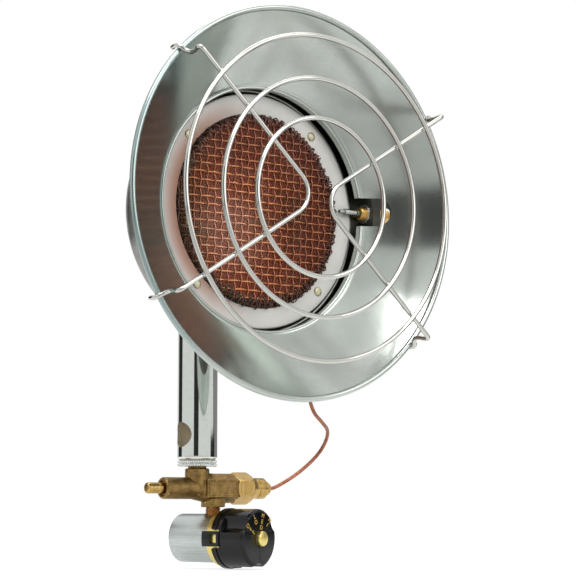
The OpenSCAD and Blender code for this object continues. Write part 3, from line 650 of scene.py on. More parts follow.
def thread(major, depth, pitch, low, high, inner, sides=96, rows=8):
    """A tube with a helical thread. The ridges reach major, and inner is the radius of the other wall."""
    turn = circle_angles(sides) / TAU
    profile = [(inner, low)]
    for z in np.arange(low, high + 0.001, pitch / rows):
        ridge = np.abs(2 * np.mod(z / pitch - turn, 1) - 1)
        ridge = np.clip(ridge * 1.7 - 0.35, 0, 1)
        fade = min(1, (z - low) / pitch, (high - z) / pitch)
        profile.append((major - depth * (1 - ridge * fade), z))
    return lathe(profile + [(inner, high)], sides)


# ---------- from shapes to pieces ----------


def shown(name, mesh):
    thing = bpy.data.objects.new(name, mesh)
    scene.collection.objects.link(thing)
    return thing


def shaded(mesh, sharp):
    mesh.shade_smooth()
    mesh.set_sharp_from_angle(angle=math.radians(sharp))


def mesh_of(name, shape, place, outward=True):
    points, faces = shape
    mesh = bpy.data.meshes.new(name)
    mesh.from_pydata((points * MM).tolist(), [], faces)
    mesh.transform(place)
    if outward:
        made = bmesh.new()
        made.from_mesh(mesh)
        bmesh.ops.recalc_face_normals(made, faces=made.faces)
        made.to_mesh(mesh)
        made.free()
    return mesh


def raw(name, shape, place, outward=True, sharp=35):
    """A new object from a shape, without its material, body and slot yet. outward mends its faces' sides."""
    thing = shown(name, mesh_of(name, shape, place, outward))
    shaded(thing.data, sharp)
    return thing


def copied(name, node):
    """A CAD node's mesh as a new object."""
    return shown(name, frame["nodes"][node].data.copy())


def baked(thing, sharp):
    """The modifiers made part of the mesh."""
    graph = bpy.context.evaluated_depsgraph_get()
    mesh = bpy.data.meshes.new_from_object(thing.evaluated_get(graph))
    thing.modifiers.clear()
    thing.data = mesh
    shaded(mesh, sharp)


def modified(thing, kind, **settings):
    modifier = thing.modifiers.new(kind, kind)
    for key, value in settings.items():
        setattr(modifier, key, value)


def carved(thing, knife_shape, place, operation="DIFFERENCE"):
    knife = shown("knife", mesh_of("knife", knife_shape, place))
    modified(thing, "BOOLEAN", operation=operation, solver="EXACT", object=knife)
    baked(thing, 35)
    bpy.data.objects.remove(knife)


def bevelled(thing, width, segments=2, angle=35):
    limit = {"limit_method": "ANGLE", "angle_limit": math.radians(angle)}
    modified(thing, "BEVEL", width=width * MM, segments=segments, **limit)
    baked(thing, angle)


def finished(thing, place, slot, body="heater", stands_for=(), material=None):
    """The piece gets its material, rides on its body and stands for its CAD nodes."""
    thing.data.materials.clear()
    thing.data.materials.append(material or finish(slot, place))
    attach(thing, body)
    if stands_for:
        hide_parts(*stands_for)


def piece(name, shape, place, slot, body="heater", stands_for=(), material=None, outward=True, sharp=35):
    finished(raw(name, shape, place, outward, sharp), place, slot, body, stands_for, material)


def spring_between(name, node, shape, place):
    """A spring of plain steel that stands for a CAD node, with its mesh kept in world coordinates."""
    thing = raw(name, shape, place, False, 80)
    thing.data.materials.append(finish("plain_steel", place))
    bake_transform(thing)
    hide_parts(node)


# ---------- regulator ----------

BODY_R, BODY_LEN = 15.5, 31
INLET_R, THREAD_LEN, INLET_DEPTH, INLET_PITCH = 12.7, 9.5, 15, 1.27
COVER_R, COVER_FRONT = 17.3, 41


def regulator():
    web, web_hole, chamber, seat, clamp = 19, 4, 11, 28.6, 13.4
    relief = INLET_R - 0.5
    outline = rounded([
        (INLET_R, 0, 0.5), (BODY_R, 0, 0.9), (BODY_R, BODY_LEN, 0.35), (clamp, BODY_LEN), (clamp, seat),
        (chamber, seat), (chamber, web), (web_hole, web), (web_hole, INLET_DEPTH),
        (relief, INLET_DEPTH), (relief, THREAD_LEN), (INLET_R, THREAD_LEN),
    ])
    body = raw("regulator_housing", lathe(outline, 160), REGULATOR)
    outlet_hole, nipple_seat, seat_floor = 4, 5.2, 14.2
    for radius, low in ((outlet_hole, 9), (nipple_seat, seat_floor)):
        carved(body, carried(drum(radius, low, 20), shift(0, 0, OUTLET_Y), turned(-90, "X")), REGULATOR)
    finished(body, REGULATOR, "aluminium", stands_for=["regulator_body"])
    inner_thread = thread(INLET_R + 0.05, 0.55, INLET_PITCH, 0.4, THREAD_LEN - 0.1, INLET_R + 0.1)
    piece("inlet_thread", inner_thread, REGULATOR, "aluminium")


def cover():
    """The drum round the regulator's front, with the hub that the control stem turns in."""
    wall, hub_r, hub_bore, stem_r, hub_front = 0.8, 9.5, 7.6, 3.08, 47
    step, face = BODY_LEN + 0.05, 32.4
    outline = rounded([
        (10.8, 29.45), (13.35, 29.45), (13.35, step), (COVER_R, step, 0.5), (COVER_R, COVER_FRONT, 0.3),
        (COVER_R - wall, COVER_FRONT), (COVER_R - wall, face), (hub_r, face, 0.4),
        (hub_r, hub_front, 0.4), (stem_r, hub_front), (stem_r, 45.4), (hub_bore, 45.4), (hub_bore, BODY_LEN),
        (10.8, BODY_LEN),
    ])
    piece("cover_plate", lathe(outline, 128), REGULATOR, "gold_plate", stands_for=["cover_flange"])


def pressure_parts():
    """The regulating spring and the diaphragm, with room for the poppet's stem under it."""
    low, high, wire_r = 31.0, 39.0, 0.6
    shape = coil(5.6, low + wire_r + 0.4, high - wire_r - 0.1, 3, wire_r)
    spring_between("range_spring", "regulating_spring", shape, REGULATOR)
    back, front, dimple = 28.6, 29.4, 28.95
    outline = rounded([
        (0, dimple), (1.2, dimple, 0.3), (1.8, back, 0.3), (7.9, back, 0.4), (8.9, back + 0.8, 0.4),
        (9.9, back, 0.3), (13.3, back), (13.3, front), (10.3, front, 0.3), (8.9, front + 1, 0.5),
        (7.5, front, 0.4), (0, front),
    ])
    piece("rubber_diaphragm", lathe(outline), REGULATOR, "rubber", stands_for=["diaphragm"])


def outlet():
    bore, spigot, back, low, high, front = 2, 3.95, 10.5, 14.25, 19.55, 22.2
    ends = [
        lathe([(bore, start), (spigot, start), (spigot, end), (bore, end)])
        for start, end in ((back, low + 0.2), (high - 0.2, front))
    ]
    shape = joined(thread(4.9, 0.5, 0.9, low, high, bore), *ends)
    warm = lathed("outlet_metal", OUTLET, (160, 112, 68), (218, 170, 116), (0.22, 0.32), 1.2)
    piece("outlet_thread", shape, OUTLET, "copper", stands_for=["outlet_nipple"], material=warm)


# ---------- knob ----------

KNOB_R, SKIRT_R, KNOB_FACE = 18.6, 19.09, 60.6
SKIRT_BACK, SKIRT_FRONT, SCALLOP_START = 35.8, 39.4, 43
FINGER_BACK, FINGER_FRONT, FINGER_HALF = 29.4, 42.4, 4.8
SLIT, WINDOW_HALF, WINDOW_BACK, WINDOW_FRONT = 1.4, 2.9, 35.5, 40.4
FINGER_ANGLES = (60, 180, 300)
SCALLOP_ANGLES = (30, 150, 270)
BEYOND = 30  # a radius outside the whole knob


def scalloped_radius(sides):
    """Distance from the axis to the scallops that a round cutter leaves, and far where there are none."""
    mill_r, depth, far = 9, 3, 99.0
    mill_at = KNOB_R + mill_r - depth
    radius = np.full(sides, far)
    for centre in SCALLOP_ANGLES:
        off = circle_angles(sides) - math.radians(centre)
        room = mill_r**2 - (mill_at * np.sin(off)) ** 2
        hit = mill_at * np.cos(off) - np.sqrt(np.maximum(room, 0))
        radius = np.where((room > 0) & (np.cos(off) > 0), np.minimum(radius, hit), radius)
    return radius


def knob_grip():
    sides = 288
    scallops = scalloped_radius(sides)
    cap_seat, stem_r, hollow_r, skirt_bore = 4.9, 3.05, 13.4, COVER_R + 0.35
    floor, hollow_front, stem_end = KNOB_FACE - 1.5, KNOB_FACE - 9, KNOB_FACE - 3.4
    groove_r, skirt_edge = KNOB_R - 0.45, 0.2
    profile = [(0, floor), (cap_seat, floor), (cap_seat, KNOB_FACE - 0.15), (5.05, KNOB_FACE)]
    crown = [
        (16.2, 0), (16.75, 0.04), (17.1, 0.18), (17.5, 0.5), (18.1, 1.1), (18.4, 1.45), (18.56, 1.9),
        (KNOB_R, 2.5),
    ]
    for radius, drop in crown:
        edge = 0.45 * max(0, 1 - drop / 0.6)
        profile.append((lower_of(radius, scallops - edge), KNOB_FACE - drop))
    cut = lower_of(KNOB_R, scallops)
    profile += [
        (cut, 50), (cut, SCALLOP_START + 0.35), (0.5 * (KNOB_R + cut), SCALLOP_START + 0.1),
        (KNOB_R, SCALLOP_START), (KNOB_R, SKIRT_FRONT + 0.7), (groove_r, SKIRT_FRONT + 0.45),
        (groove_r, SKIRT_FRONT + 0.1), (SKIRT_R - skirt_edge, SKIRT_FRONT),
        (SKIRT_R, SKIRT_FRONT - skirt_edge), (SKIRT_R, SKIRT_BACK + 0.25), (SKIRT_R - 0.25, SKIRT_BACK),
        (skirt_bore, SKIRT_BACK), (skirt_bore, FINGER_FRONT), (hollow_r, FINGER_FRONT),
        (hollow_r, hollow_front), (stem_r, hollow_front), (stem_r, stem_end), (0, stem_end),
    ]
    grip = raw("knob_grip", lathe(profile, sides), REGULATOR)
    inside, low = skirt_bore - 1, 30
    beside = joined(
        block((inside, FINGER_HALF, low), (BEYOND, FINGER_HALF + SLIT, FINGER_FRONT)),
        block((inside, -FINGER_HALF - SLIT, low), (BEYOND, -FINGER_HALF, FINGER_FRONT)),
        block((inside, -WINDOW_HALF, WINDOW_BACK), (BEYOND, WINDOW_HALF, WINDOW_FRONT)),
    )
    carved(grip, repeated(beside, FINGER_ANGLES), REGULATOR)
    finished(grip, REGULATOR, "knob_plastic", "knob", ["control_knob"])


def knob_fingers():
    """Three snap fingers that reach back over the cover, each with a window and a hooked end."""
    hook_r, bore, proud, hook = BODY_R + 0.4, COVER_R + 0.45, SKIRT_R + 0.3, FINGER_BACK + 1.4
    ring = lathe([
        (hook_r, FINGER_BACK), (proud, FINGER_BACK), (proud, FINGER_FRONT), (bore, FINGER_FRONT),
        (bore, hook), (hook_r, hook),
    ], 288)
    fingers = raw("knob_fingers", ring, REGULATOR)
    keep = block((5, -FINGER_HALF, 28), (BEYOND, FINGER_HALF, 50))
    window = block((bore - 1, -WINDOW_HALF, WINDOW_BACK), (BEYOND, WINDOW_HALF, WINDOW_FRONT))
    carved(fingers, repeated(keep, FINGER_ANGLES), REGULATOR, "INTERSECT")
    carved(fingers, repeated(window, FINGER_ANGLES), REGULATOR)
    bevelled(fingers, 0.25)
    finished(fingers, REGULATOR, "knob_plastic", "knob")


def centre_cap():
    radius, back, wall, crown = 4.8, 59.15, 3.4, 4.1
    outline = [(0, back), (radius, back, 0.2), (radius, KNOB_FACE + wall, 1.3), (0, KNOB_FACE + crown)]
    piece("centre_cap", lathe(rounded(outline, 8)), REGULATOR, "gold_plate", "knob", ["knob_cap"])


def letter(text, height):
    """A flat raised letter, centred, in millimetres."""
    data = bpy.data.curves.new("letter", "FONT")
    data.body = text
    data.size = height / 0.7
    data.align_x, data.align_y = "CENTER", "CENTER"
    data.offset = 0.05
    data.extrude = 0.05
    data.resolution_u = 4
    thing = shown("letter", data)
    mesh = bpy.data.meshes.new_from_object(thing.evaluated_get(bpy.context.evaluated_depsgraph_get()))
    points = np.array([v.co for v in mesh.vertices])
    faces = [list(p.vertices) for p in mesh.polygons]
    bpy.data.objects.remove(thing)
    bpy.data.meshes.remove(mesh)
    points[:, :2] -= (points[:, :2].max(0) + points[:, :2].min(0)) / 2
    return points, faces


def dial():
    """Generic settings, each word stacked along a radius with its first letter outermost."""
    height, lift = 2.7, 0.03
    words = {
        "OFF": (58, (15.2, 11.6, 8.0)),
        "LO": (22, (14.8, 11.2)),
        "MED": (-14, (14.8, 11.0, 7.2)),
        "HI": (-44, (15.9, 12.1)),
    }
    marks = [
        carried(letter(character, height), turned(angle, "Z"), shift(0, radius, KNOB_FACE + lift))
        for word, (angle, radii) in words.items()
        for character, radius in zip(word, radii)
    ]
    gold = gold_print("gold_print", REGULATOR)
    piece("dial_marks", joined(*marks), REGULATOR, "gold_plate", "knob", material=gold)


# ---------- valve ----------

BARREL_END, BUTTON_OUT = -26.8, 11.7


def valve_casting():
    body = copied("valve_casting", "valve_body")
    modified(body, "REMESH", mode="VOXEL", voxel_size=0.42 * MM, use_smooth_shade=True)
    modified(body, "SMOOTH", factor=0.5, iterations=4)
    baked(body, 60)
    finished(body, VALVE, "cast_brass", stands_for=["valve_body"])


def start_button():
    low, radius, groove, back = BARREL_END - BUTTON_OUT, 3.5, 3.25, -19.6
    collar_r, collar, rod_r, end = 4.6, -18.2, 2.3, -16.8
    outline = rounded([
        (0, low), (2.3, low, 0.2), (3.2, low + 0.5, 0.3), (radius, low + 1.4, 0.4), (radius, -30.2),
        (groove, -30.0), (groove, -29.7), (radius, -29.5), (radius, back), (collar_r, back),
        (collar_r, collar), (rod_r, collar), (rod_r, end), (0, end),
    ])
    piece("start_button", lathe(outline), VALVE, "machined_brass", "button", ["push_button"])
    seat, wire_r = -8, 0.35
    shape = coil(3.6, collar + wire_r + 0.1, seat - wire_r - 0.1, 5, wire_r)
    spring_between("return_spring", "button_spring", shape, VALVE)


NUT_SIDES = 192


def hexagon(corner_r, rows, blend):
    """A nut's profile. Each row has a height, and the radius that its corners are turned down to."""
    flats = polygon_radius(corner_r, 6, NUT_SIDES)
    return [(lower_of(flats, limit, blend), z) for z, limit in rows]


def valve_nuts():
    bore, shank_r, groove_r, front = 3.6, 6.8, 6.55, 52.3
    rows = [
        (26.45, 9.1), (26.7, 9.45), (27.0, 9.8), (27.35, 10.15), (27.8, 10.5),
        (38.0, 10.5), (38.5, 10.1), (39.0, 9.7), (39.4, 9.25), (39.6, 9.0),
    ]
    nut = [
        (bore, 26.45), *hexagon(10.4, rows, 0.05), (8.6, 39.62), (8.5, 39.8), (6.95, 42.8),
        (shank_r, 43.1), (shank_r, 45.2), (groove_r, 45.35), (groove_r, 45.65), (shank_r, 45.8),
        (shank_r, 51.0), (6.7, 51.3), (5.8, 52.15), (5.6, front), (3.1, front), (3.1, 40.3), (bore, 40.3),
    ]
    brass = {"place": VALVE, "slot": "machined_brass", "sharp": 28}
    piece("magnet_hex_nut", lathe(nut, NUT_SIDES), stands_for=["magnet_nut"], **brass)

    bore, sleeve_r, back, end = 1.3, 3.05, 46.3, 57.2
    rows = [(52.35, 4.2), (52.6, 4.45), (52.85, 4.65), (54.9, 4.65), (55.2, 4.4), (55.5, 4.1)]
    nut = [
        (bore, back), (sleeve_r, back), (sleeve_r, 52.35), *hexagon(4.6, rows, 0.04),
        (3.9, 55.55), (3.75, 55.7), (2.3, 57.1), (1.9, end), (bore, end),
    ]
    piece("lead_hex_nut", lathe(nut, NUT_SIDES), stands_for=["lead_nut"], **brass)


# ---------- thermocouple ----------


def lead():
    """A rigid bent copper tube. Only its part below the dish shows in the photograph."""
    route = [
        (50, -170.2, 0), (57.5, -170.2, 0), (64, -168.4, 0), (77, -162, 0), (88, -155, 0), (96.5, -147.5, 1),
        (100, -140.5, 4), (99.5, -134.5, 8), (95, -130.5, 13), (86, -126.5, 19), (74, -120.5, 26),
        (66, -111, 32), (65, -98, 37), (72, -80, 43), (85, -60, 48), (96, -40, 53), (105, -22, 58),
        (110, -8, 62.5), (110.5, 2, 66.5), (108, PROBE_Y, PROBE_Z), (105, PROBE_Y, PROBE_Z),
        (100, PROBE_Y, PROBE_Z),
    ]
    shape = wire(smooth(route, 10), 1.2)
    piece("copper_lead", shape, HEAD, "copper", stands_for=["thermocouple_lead"], outward=False)


def probe():
    tip_r, body_r, tip, neck, end = 1.3, 2.1, 62.2, 66.2, 79.2
    rod = rounded([
        (0, tip), (tip_r, tip, 0.4), (tip_r, neck), (body_r, neck, 0.4), (body_r, end), (0, end)
    ])
    piece("probe_tip", lathe(rod, 48), PROBE, "plain_steel", stands_for=["thermocouple_probe"])
    collar = rounded([(2.12, 75.4), (2.7, 75.4, 0.3), (2.9, 76.6, 0.2), (2.7, 78.2, 0.2), (2.12, 78.2)])
    olive = lathed("probe_collar", PROBE, (84, 84, 66), (128, 124, 98), (0.35, 0.5))
    piece("probe_insulator", lathe(collar, 48), PROBE, "plain_steel", material=olive)


def probe_fittings():
    sleeve_r, sleeve_bore, lead_bore, end = 4.3, 2.15, 1.32, 86.6
    flats = lower_of(polygon_radius(4.9, 6, 96), 4.75, 0.05)
    front = rounded([
        (sleeve_bore, 78.3), (3.4, 78.3, 0.3), (sleeve_r, 79.3, 0.4), (sleeve_r, 81.2, 0.1), (4.05, 81.4),
        (4.05, 81.7), (sleeve_r, 81.9, 0.1), (sleeve_r, end), (sleeve_bore, end),
    ])
    head = [
        (lead_bore, 85.9), (0.9 * flats, 85.9), (flats, 86.2), (flats, 88.6), (0.9 * flats, 88.95), (2.4, 89),
        (lead_bore, 89),
    ]
    satin = lathed("satin_brass", PROBE, (204, 158, 82), (240, 200, 124), (0.45, 0.6), 1.2)
    brass = {"place": PROBE, "slot": "machined_brass", "material": satin, "sharp": 28}
    piece("probe_brass_sleeve", joined(lathe(front), lathe(head)), stands_for=["probe_sleeve"], **brass)
    washer = rounded([(4.35, 82.0), (6.3, 82.0, 0.2), (6.3, 83.1, 0.2), (4.35, 83.1)])
    piece("probe_washer", lathe(washer, 64), PROBE, "zinc_steel")
    nut = [
        (lead_bore, 90.35), (0.9 * flats, 90.35), (flats, 90.7), (flats, 95.6), (0.9 * flats, 95.95),
        (4.1, 96), (4.1, 101.6), (3.6, 102.1), (lead_bore, 102.1),
    ]
    piece("probe_lock_nut", lathe(nut), **brass)
    bracket = copied("probe_bracket_bent", "probe_bracket")
    bevelled(bracket, 0.2)
    finished(bracket, HEAD, "pressed_steel", stands_for=["probe_bracket"], material=soot_and_painted_shade())


# ---------- mixing tube ----------

TUBE_R, TUBE_LOW, TUBE_HOLE_R, ELBOW_R = 12.7, 49.4, 5.85, 22
AIR_HOLE_R, AIR_HOLE_Z = 8, 65.4
LOCK_RING_LOW = 45.3


def knurled_ring():
    """Two rows of teeth, the upper one half a tooth round."""
    teeth, outer, depth, row_height = 52, 12.6, 0.8, 2.15
    sides = teeth * 10
    phase = np.mod(circle_angles(sides) / TAU * teeth, 1)
    core, foot = outer - 1, outer - 1.6

    profile = [(TUBE_HOLE_R, LOCK_RING_LOW), (foot, LOCK_RING_LOW)]
    for low, half_turn in ((LOCK_RING_LOW, 0), (LOCK_RING_LOW + row_height, 0.5)):
        ridge = np.abs(2 * np.mod(phase + half_turn, 1) - 1)
        crest = outer - depth * (1 - np.clip(1.25 * ridge, 0, 1) ** 0.8)
        for z, cut in ((0, 0.75), (0.25, 0.3), (0.45, 0), (1.35, 0), (1.6, 0.3), (1.8, 0.75)):
            profile.append((crest - cut, low + z))
        profile.append((core - 0.1, low + 1.9))
    profile += [(foot, TUBE_LOW - 0.05), (TUBE_HOLE_R, TUBE_LOW - 0.05)]
    piece("lock_ring_knurled", lathe(profile, sides), TUBE, "zinc_steel", stands_for=["lock_ring"], sharp=50)


def mixing_tube():
    wall, shoulder, sides = 1, 2.0, 128
    elbow_z = HEAD_Z - ELBOW_R
    theta = circle_angles(sides)

    def ring(radius, z, bend=0.0, ahead=0.0):
        """A ring of the tube at height z, then turned into the elbow by bend, then pushed ahead."""
        turn = -ELBOW_R + (ELBOW_R + radius * np.sin(theta)) * math.cos(bend) - ahead
        rise = z + (ELBOW_R + radius * np.sin(theta)) * math.sin(bend)
        return np.stack([radius * np.cos(theta), turn, rise], 1)

    def wall_rings(radius, low):
        heights = [*np.arange(low, 88, 1.2), *np.linspace(90, elbow_z, 10)]
        straight = [ring(radius, z) for z in heights]
        elbow = [ring(radius, elbow_z, a) for a in np.radians(np.linspace(0, 90, 25)[1:])]
        return straight + elbow + [ring(radius, elbow_z, math.pi / 2, 5)]

    inside, start = TUBE_R - wall, TUBE_LOW + shoulder
    bottom = [(TUBE_HOLE_R, TUBE_LOW), *arc(TUBE_R - shoulder, start, shoulder, -90, 0, 10)[:-1]]
    rings = [ring(r, z) for r, z in bottom] + wall_rings(TUBE_R, start) + wall_rings(inside, start)[::-1]
    rings += [ring(inside - 2, TUBE_LOW + wall), ring(TUBE_HOLE_R, TUBE_LOW + wall)]
    starts = [row * sides for row in range(len(rings))]
    faces = [face for a, b in zip(starts, starts[1:] + [0]) for face in quads(a, b, sides)]
    tube = raw("mixing_tube_chromed", (np.concatenate(rings), faces), TUBE)
    carved(tube, carried(drum(AIR_HOLE_R, -20, 20, 96), shift(0, 0, AIR_HOLE_Z), turned(90, "Y")), TUBE)
    bevelled(tube, 0.18, 2, 40)
    finished(tube, TUBE, "chrome_tube", stands_for=["mixing_tube"])


# ---------- burner head ----------

RIM_Z, RIM_R, HOLE_R, HOLE_Z = 108, 120.14, 75, 71.6
BEAD_R, BEAD_Z, SHEET, DISH_T = 1.8, 107.1, 0.8, 0.85
BEAD_AT = RIM_R - BEAD_R
PAN_R, PAN_BACK, PAN_FRONT, PAN_CORNER, PAN_FLANGE_R = 75.2, 20, 62.4, 16, 84
RING_FRONT, RING_BACK = 64.8, 64
RIVET_R, RIVET_ANGLES = 66.5, (51, 141, 227, 315)


def soot_and_painted_shade():
    """Steel darkened by the burner's soot; on the skirt the dark tone is also painted shade for the gap
    between the dish's hole and the pan.
    """
    return pressed_steel("soot_and_shade_steel", HEAD, (66, 68, 64), (104, 106, 100))


def dish_z(r):
    slope = (BEAD_Z - HOLE_Z) / (BEAD_AT**2 - HOLE_R**2)
    return HOLE_Z + slope * (r * r - HOLE_R**2)


def reflector():
    lip_r, neck_r, neck_end, corner = 0.9, HOLE_R + DISH_T, HOLE_Z - 2.4, 0.2
    # The sheet's first two points are left to the lip's arc
    front = [(r, dish_z(r)) for r in np.linspace(HOLE_R, BEAD_AT - BEAD_R * 0.8, 34)][2:]
    bead = arc(BEAD_AT, BEAD_Z, BEAD_R, 215, -112, 22)
    back = [(r, dish_z(r) - DISH_T) for r in np.linspace(BEAD_AT - BEAD_R * 0.6, neck_r, 30)]
    neck = [
        (neck_r, neck_end + corner), (neck_r - corner, neck_end), (HOLE_R + corner, neck_end),
        (HOLE_R, neck_end + corner), *arc(HOLE_R + lip_r, HOLE_Z + lip_r, lip_r, 180, 30, 12),
    ]
    dish = raw("reflector_dish", lathe(front + bead + back + neck, 256), HEAD)
    notch = rounded([(72, -9, 1), (92, -9, 8.5), (92, 9, 8.5), (72, 9, 1)], 10)
    carved(dish, carried(prism(notch, 60, 100), shift(0, PROBE_Y, 0)), HEAD)
    finished(dish, HEAD, "reflector_metal", stands_for=["reflector"])


def skirt():
    """The pressed ring between pan and dish, with a way for the probe and a window for its lock nut."""
    lap, foot, inner = PAN_FLANGE_R + 9.6, PAN_R + 0.6, PAN_FLANGE_R - SHEET

    def under_dish(r, depth=0.0):
        return r, dish_z(r) - DISH_T - 0.1 - depth

    outline = rounded([
        (foot, PAN_FRONT + 0.05), (PAN_FLANGE_R, PAN_FRONT + 0.05, 1.0),
        (*under_dish(PAN_FLANGE_R, SHEET), 0.6), under_dish(lap, SHEET), under_dish(lap), under_dish(inner),
        (inner, PAN_FRONT + SHEET), (foot, PAN_FRONT + SHEET),
    ])
    thing = raw("reflector_skirt", lathe(outline, 192), HEAD)
    probe_way = carried(drum(5.6, 73, 93, 48), shift(0, PROBE_Y, PROBE_Z), turned(90, "Y"))
    carved(thing, probe_way, HEAD)
    window = rounded([(87, -6.6, 2), (92.2, -6.6, 4.2), (92.2, 2.8, 4.2), (87, 2.8, 2)], 10)
    carved(thing, carried(prism(window, 70, 100), shift(0, PROBE_Y, 0)), HEAD)
    # The skirt's dark tone is painted shade, for the shaded gap between the dish's hole and the pan
    finished(thing, HEAD, "pressed_steel", stands_for=["reflector_mount"], material=soot_and_painted_shade())


def pan():
    corner_r, corner_z, elbow_hole = PAN_R - PAN_CORNER, PAN_BACK + PAN_CORNER, 13.1
    outside = arc(corner_r, corner_z, PAN_CORNER, -90, 0, 14)
    inside = arc(corner_r, corner_z, PAN_CORNER - SHEET, 0, -90, 14)
    flange = rounded([
        (PAN_R, corner_z + 2), (PAN_R, PAN_FRONT - SHEET, 1.2), (PAN_FLANGE_R, PAN_FRONT - SHEET, 0.3),
        (PAN_FLANGE_R, PAN_FRONT, 0.3), (PAN_R - SHEET, PAN_FRONT, 1.6), (PAN_R - SHEET, corner_z + 2),
    ])
    # A shallow pressed ring stiffens the back
    bead = [(30, 0), (32, 0.15), (34, 0.7), (36, 0.95), (38, 0.7), (40, 0.15), (42, 0)]
    back = [(elbow_hole, PAN_BACK), *[(r, PAN_BACK + lift) for r, lift in bead]]
    front = [(r, z + SHEET) for r, z in reversed(back)]
    bowl = lathe(back + outside + flange + inside + front, 192)
    piece("burner_bowl", bowl, HEAD, "pressed_steel", stands_for=["burner_pan"])
    head = rounded([
        (0, 18.6), (1.5, 18.75, 0.4), (2.5, 19.3, 0.4), (2.6, 19.95), (1.1, 19.95), (1.1, 22.4), (2.1, 22.4),
        (2.1, 23.2), (0, 23.2),
    ])
    rivets = repeated(lathe(head, 32), (90, 210, 330), shift(17.5, 0, 0))
    piece("elbow_rivets", rivets, HEAD, "zinc_steel", stands_for=["flange_rivets"])


def clamp_ring():
    outer, back = PAN_R - SHEET - 1.1, 60.4
    outline = rounded([
        (MESH_R, RING_BACK, 0.2), (MESH_R, RING_FRONT, 0.35), (outer, RING_FRONT, 1.1), (outer, back),
        (outer - SHEET, back), (outer - SHEET, RING_BACK, 0.4),
    ])
    piece("burner_clamp_ring", lathe(outline, 192), HEAD, "ring_enamel", stands_for=["burner_ring"])
    shank, seat, back = 1.6, 64.85, 60.35
    head = rounded([
        (0, 65.85), (1.6, 65.8, 0.5), (2.6, 65.4, 0.4), (3.0, seat), (shank, seat), (shank, back),
        (2.4, back), (2.4, 59.45, 0.3), (0, 59.45),
    ])
    rivets = repeated(lathe(head, 40), RIVET_ANGLES, shift(RIVET_R, 0, 0))
    piece("clamp_rivets", rivets, HEAD, "rivet_metal", stands_for=["ring_rivets"])


# ---------- burner mesh ----------

DRUM_ROUND, DRUM_CROWN = 3.5, 0.8


def on_drum(u, v, lift, radius, front):
    """Points and outward directions of a flat cloth (u, v) pressed over a drum, lifted off it by lift."""
    s, turn = np.hypot(u, v), np.arctan2(v, u)
    flat = radius - DRUM_ROUND
    bend = np.clip((s - flat) / DRUM_ROUND, 0, math.pi / 2)
    down = np.maximum(s - flat - DRUM_ROUND * math.pi / 2, 0)
    r = np.minimum(s, flat) + (DRUM_ROUND + lift) * np.sin(bend)
    z = front - DRUM_ROUND + (DRUM_ROUND + lift) * np.cos(bend) - down
    z += DRUM_CROWN * np.clip(1 - (s / flat) ** 2, 0, 1)
    points = np.stack([r * np.cos(turn), r * np.sin(turn), z], 1)
    out = np.stack([np.sin(bend) * np.cos(turn), np.sin(bend) * np.sin(turn), np.cos(bend)], 1)
    return points, out


def cloth(radius, front, pitch, wire_r, crimp, warp, steps, sides, wander, seed):
    """One direction of a plain weave over the drum. Warp and weft pass over each other by turns."""
    draw = random.Random(seed)
    reach = radius - DRUM_ROUND + DRUM_ROUND * math.pi / 2 + 1.6
    shapes = []
    count = int(reach / pitch)
    for i in range(-count, count + 1):
        across = i * pitch + draw.uniform(-0.06, 0.06) * pitch
        if abs(across) > reach - 1:
            continue
        half = math.sqrt(reach**2 - across**2)
        along = np.linspace(-half, half, max(8, int(2 * half / pitch * steps)))
        wave = math.pi * along / pitch
        sign = (-1) ** i * (1 if warp else -1)
        lift = sign * crimp * np.clip(1.5 * np.cos(wave), -1, 1)
        phase, slow = draw.uniform(0, TAU), draw.uniform(18, 30)
        aside = across + wander * (0.6 * np.sin(wave + phase) + np.sin(TAU * along / slow + phase))
        u, v = (aside, along) if warp else (along, aside)
        points, out = on_drum(u, v, lift, radius, front)
        shapes.append(wire(points, wire_r, sides, out))
    return joined(*shapes)


def fringe(radius, front, count=330, wire_r=0.42):
    """Loose, crumpled wire ends along the hem of the coarse mesh, fewer of them at the left."""
    draw = random.Random(11)
    shapes = []
    t = np.linspace(0, 1, 9)
    for i in range(count):
        start, length = draw.uniform(radius - 7, radius - 1.5), draw.uniform(3, 6.5)
        lean, curl, phase = draw.uniform(-2.2, 2.2), draw.uniform(0.3, 0.9), draw.uniform(0, TAU)
        out_way = start + length * t
        side = lean * t + curl * np.sin(5 * t + phase)
        turn = TAU * (i + draw.uniform(-0.4, 0.4)) / count
        if draw.random() < 0.6 * max(0, -math.cos(turn)):
            continue
        u = out_way * math.cos(turn) - side * math.sin(turn)
        v = out_way * math.sin(turn) + side * math.cos(turn)
        lift = 0.5 + draw.uniform(0.5, 1.9) * np.sin(math.pi * t)
        points, out = on_drum(u, v, lift, radius, front)
        shapes.append(wire(points, wire_r, 5, out))
    return joined(*shapes)


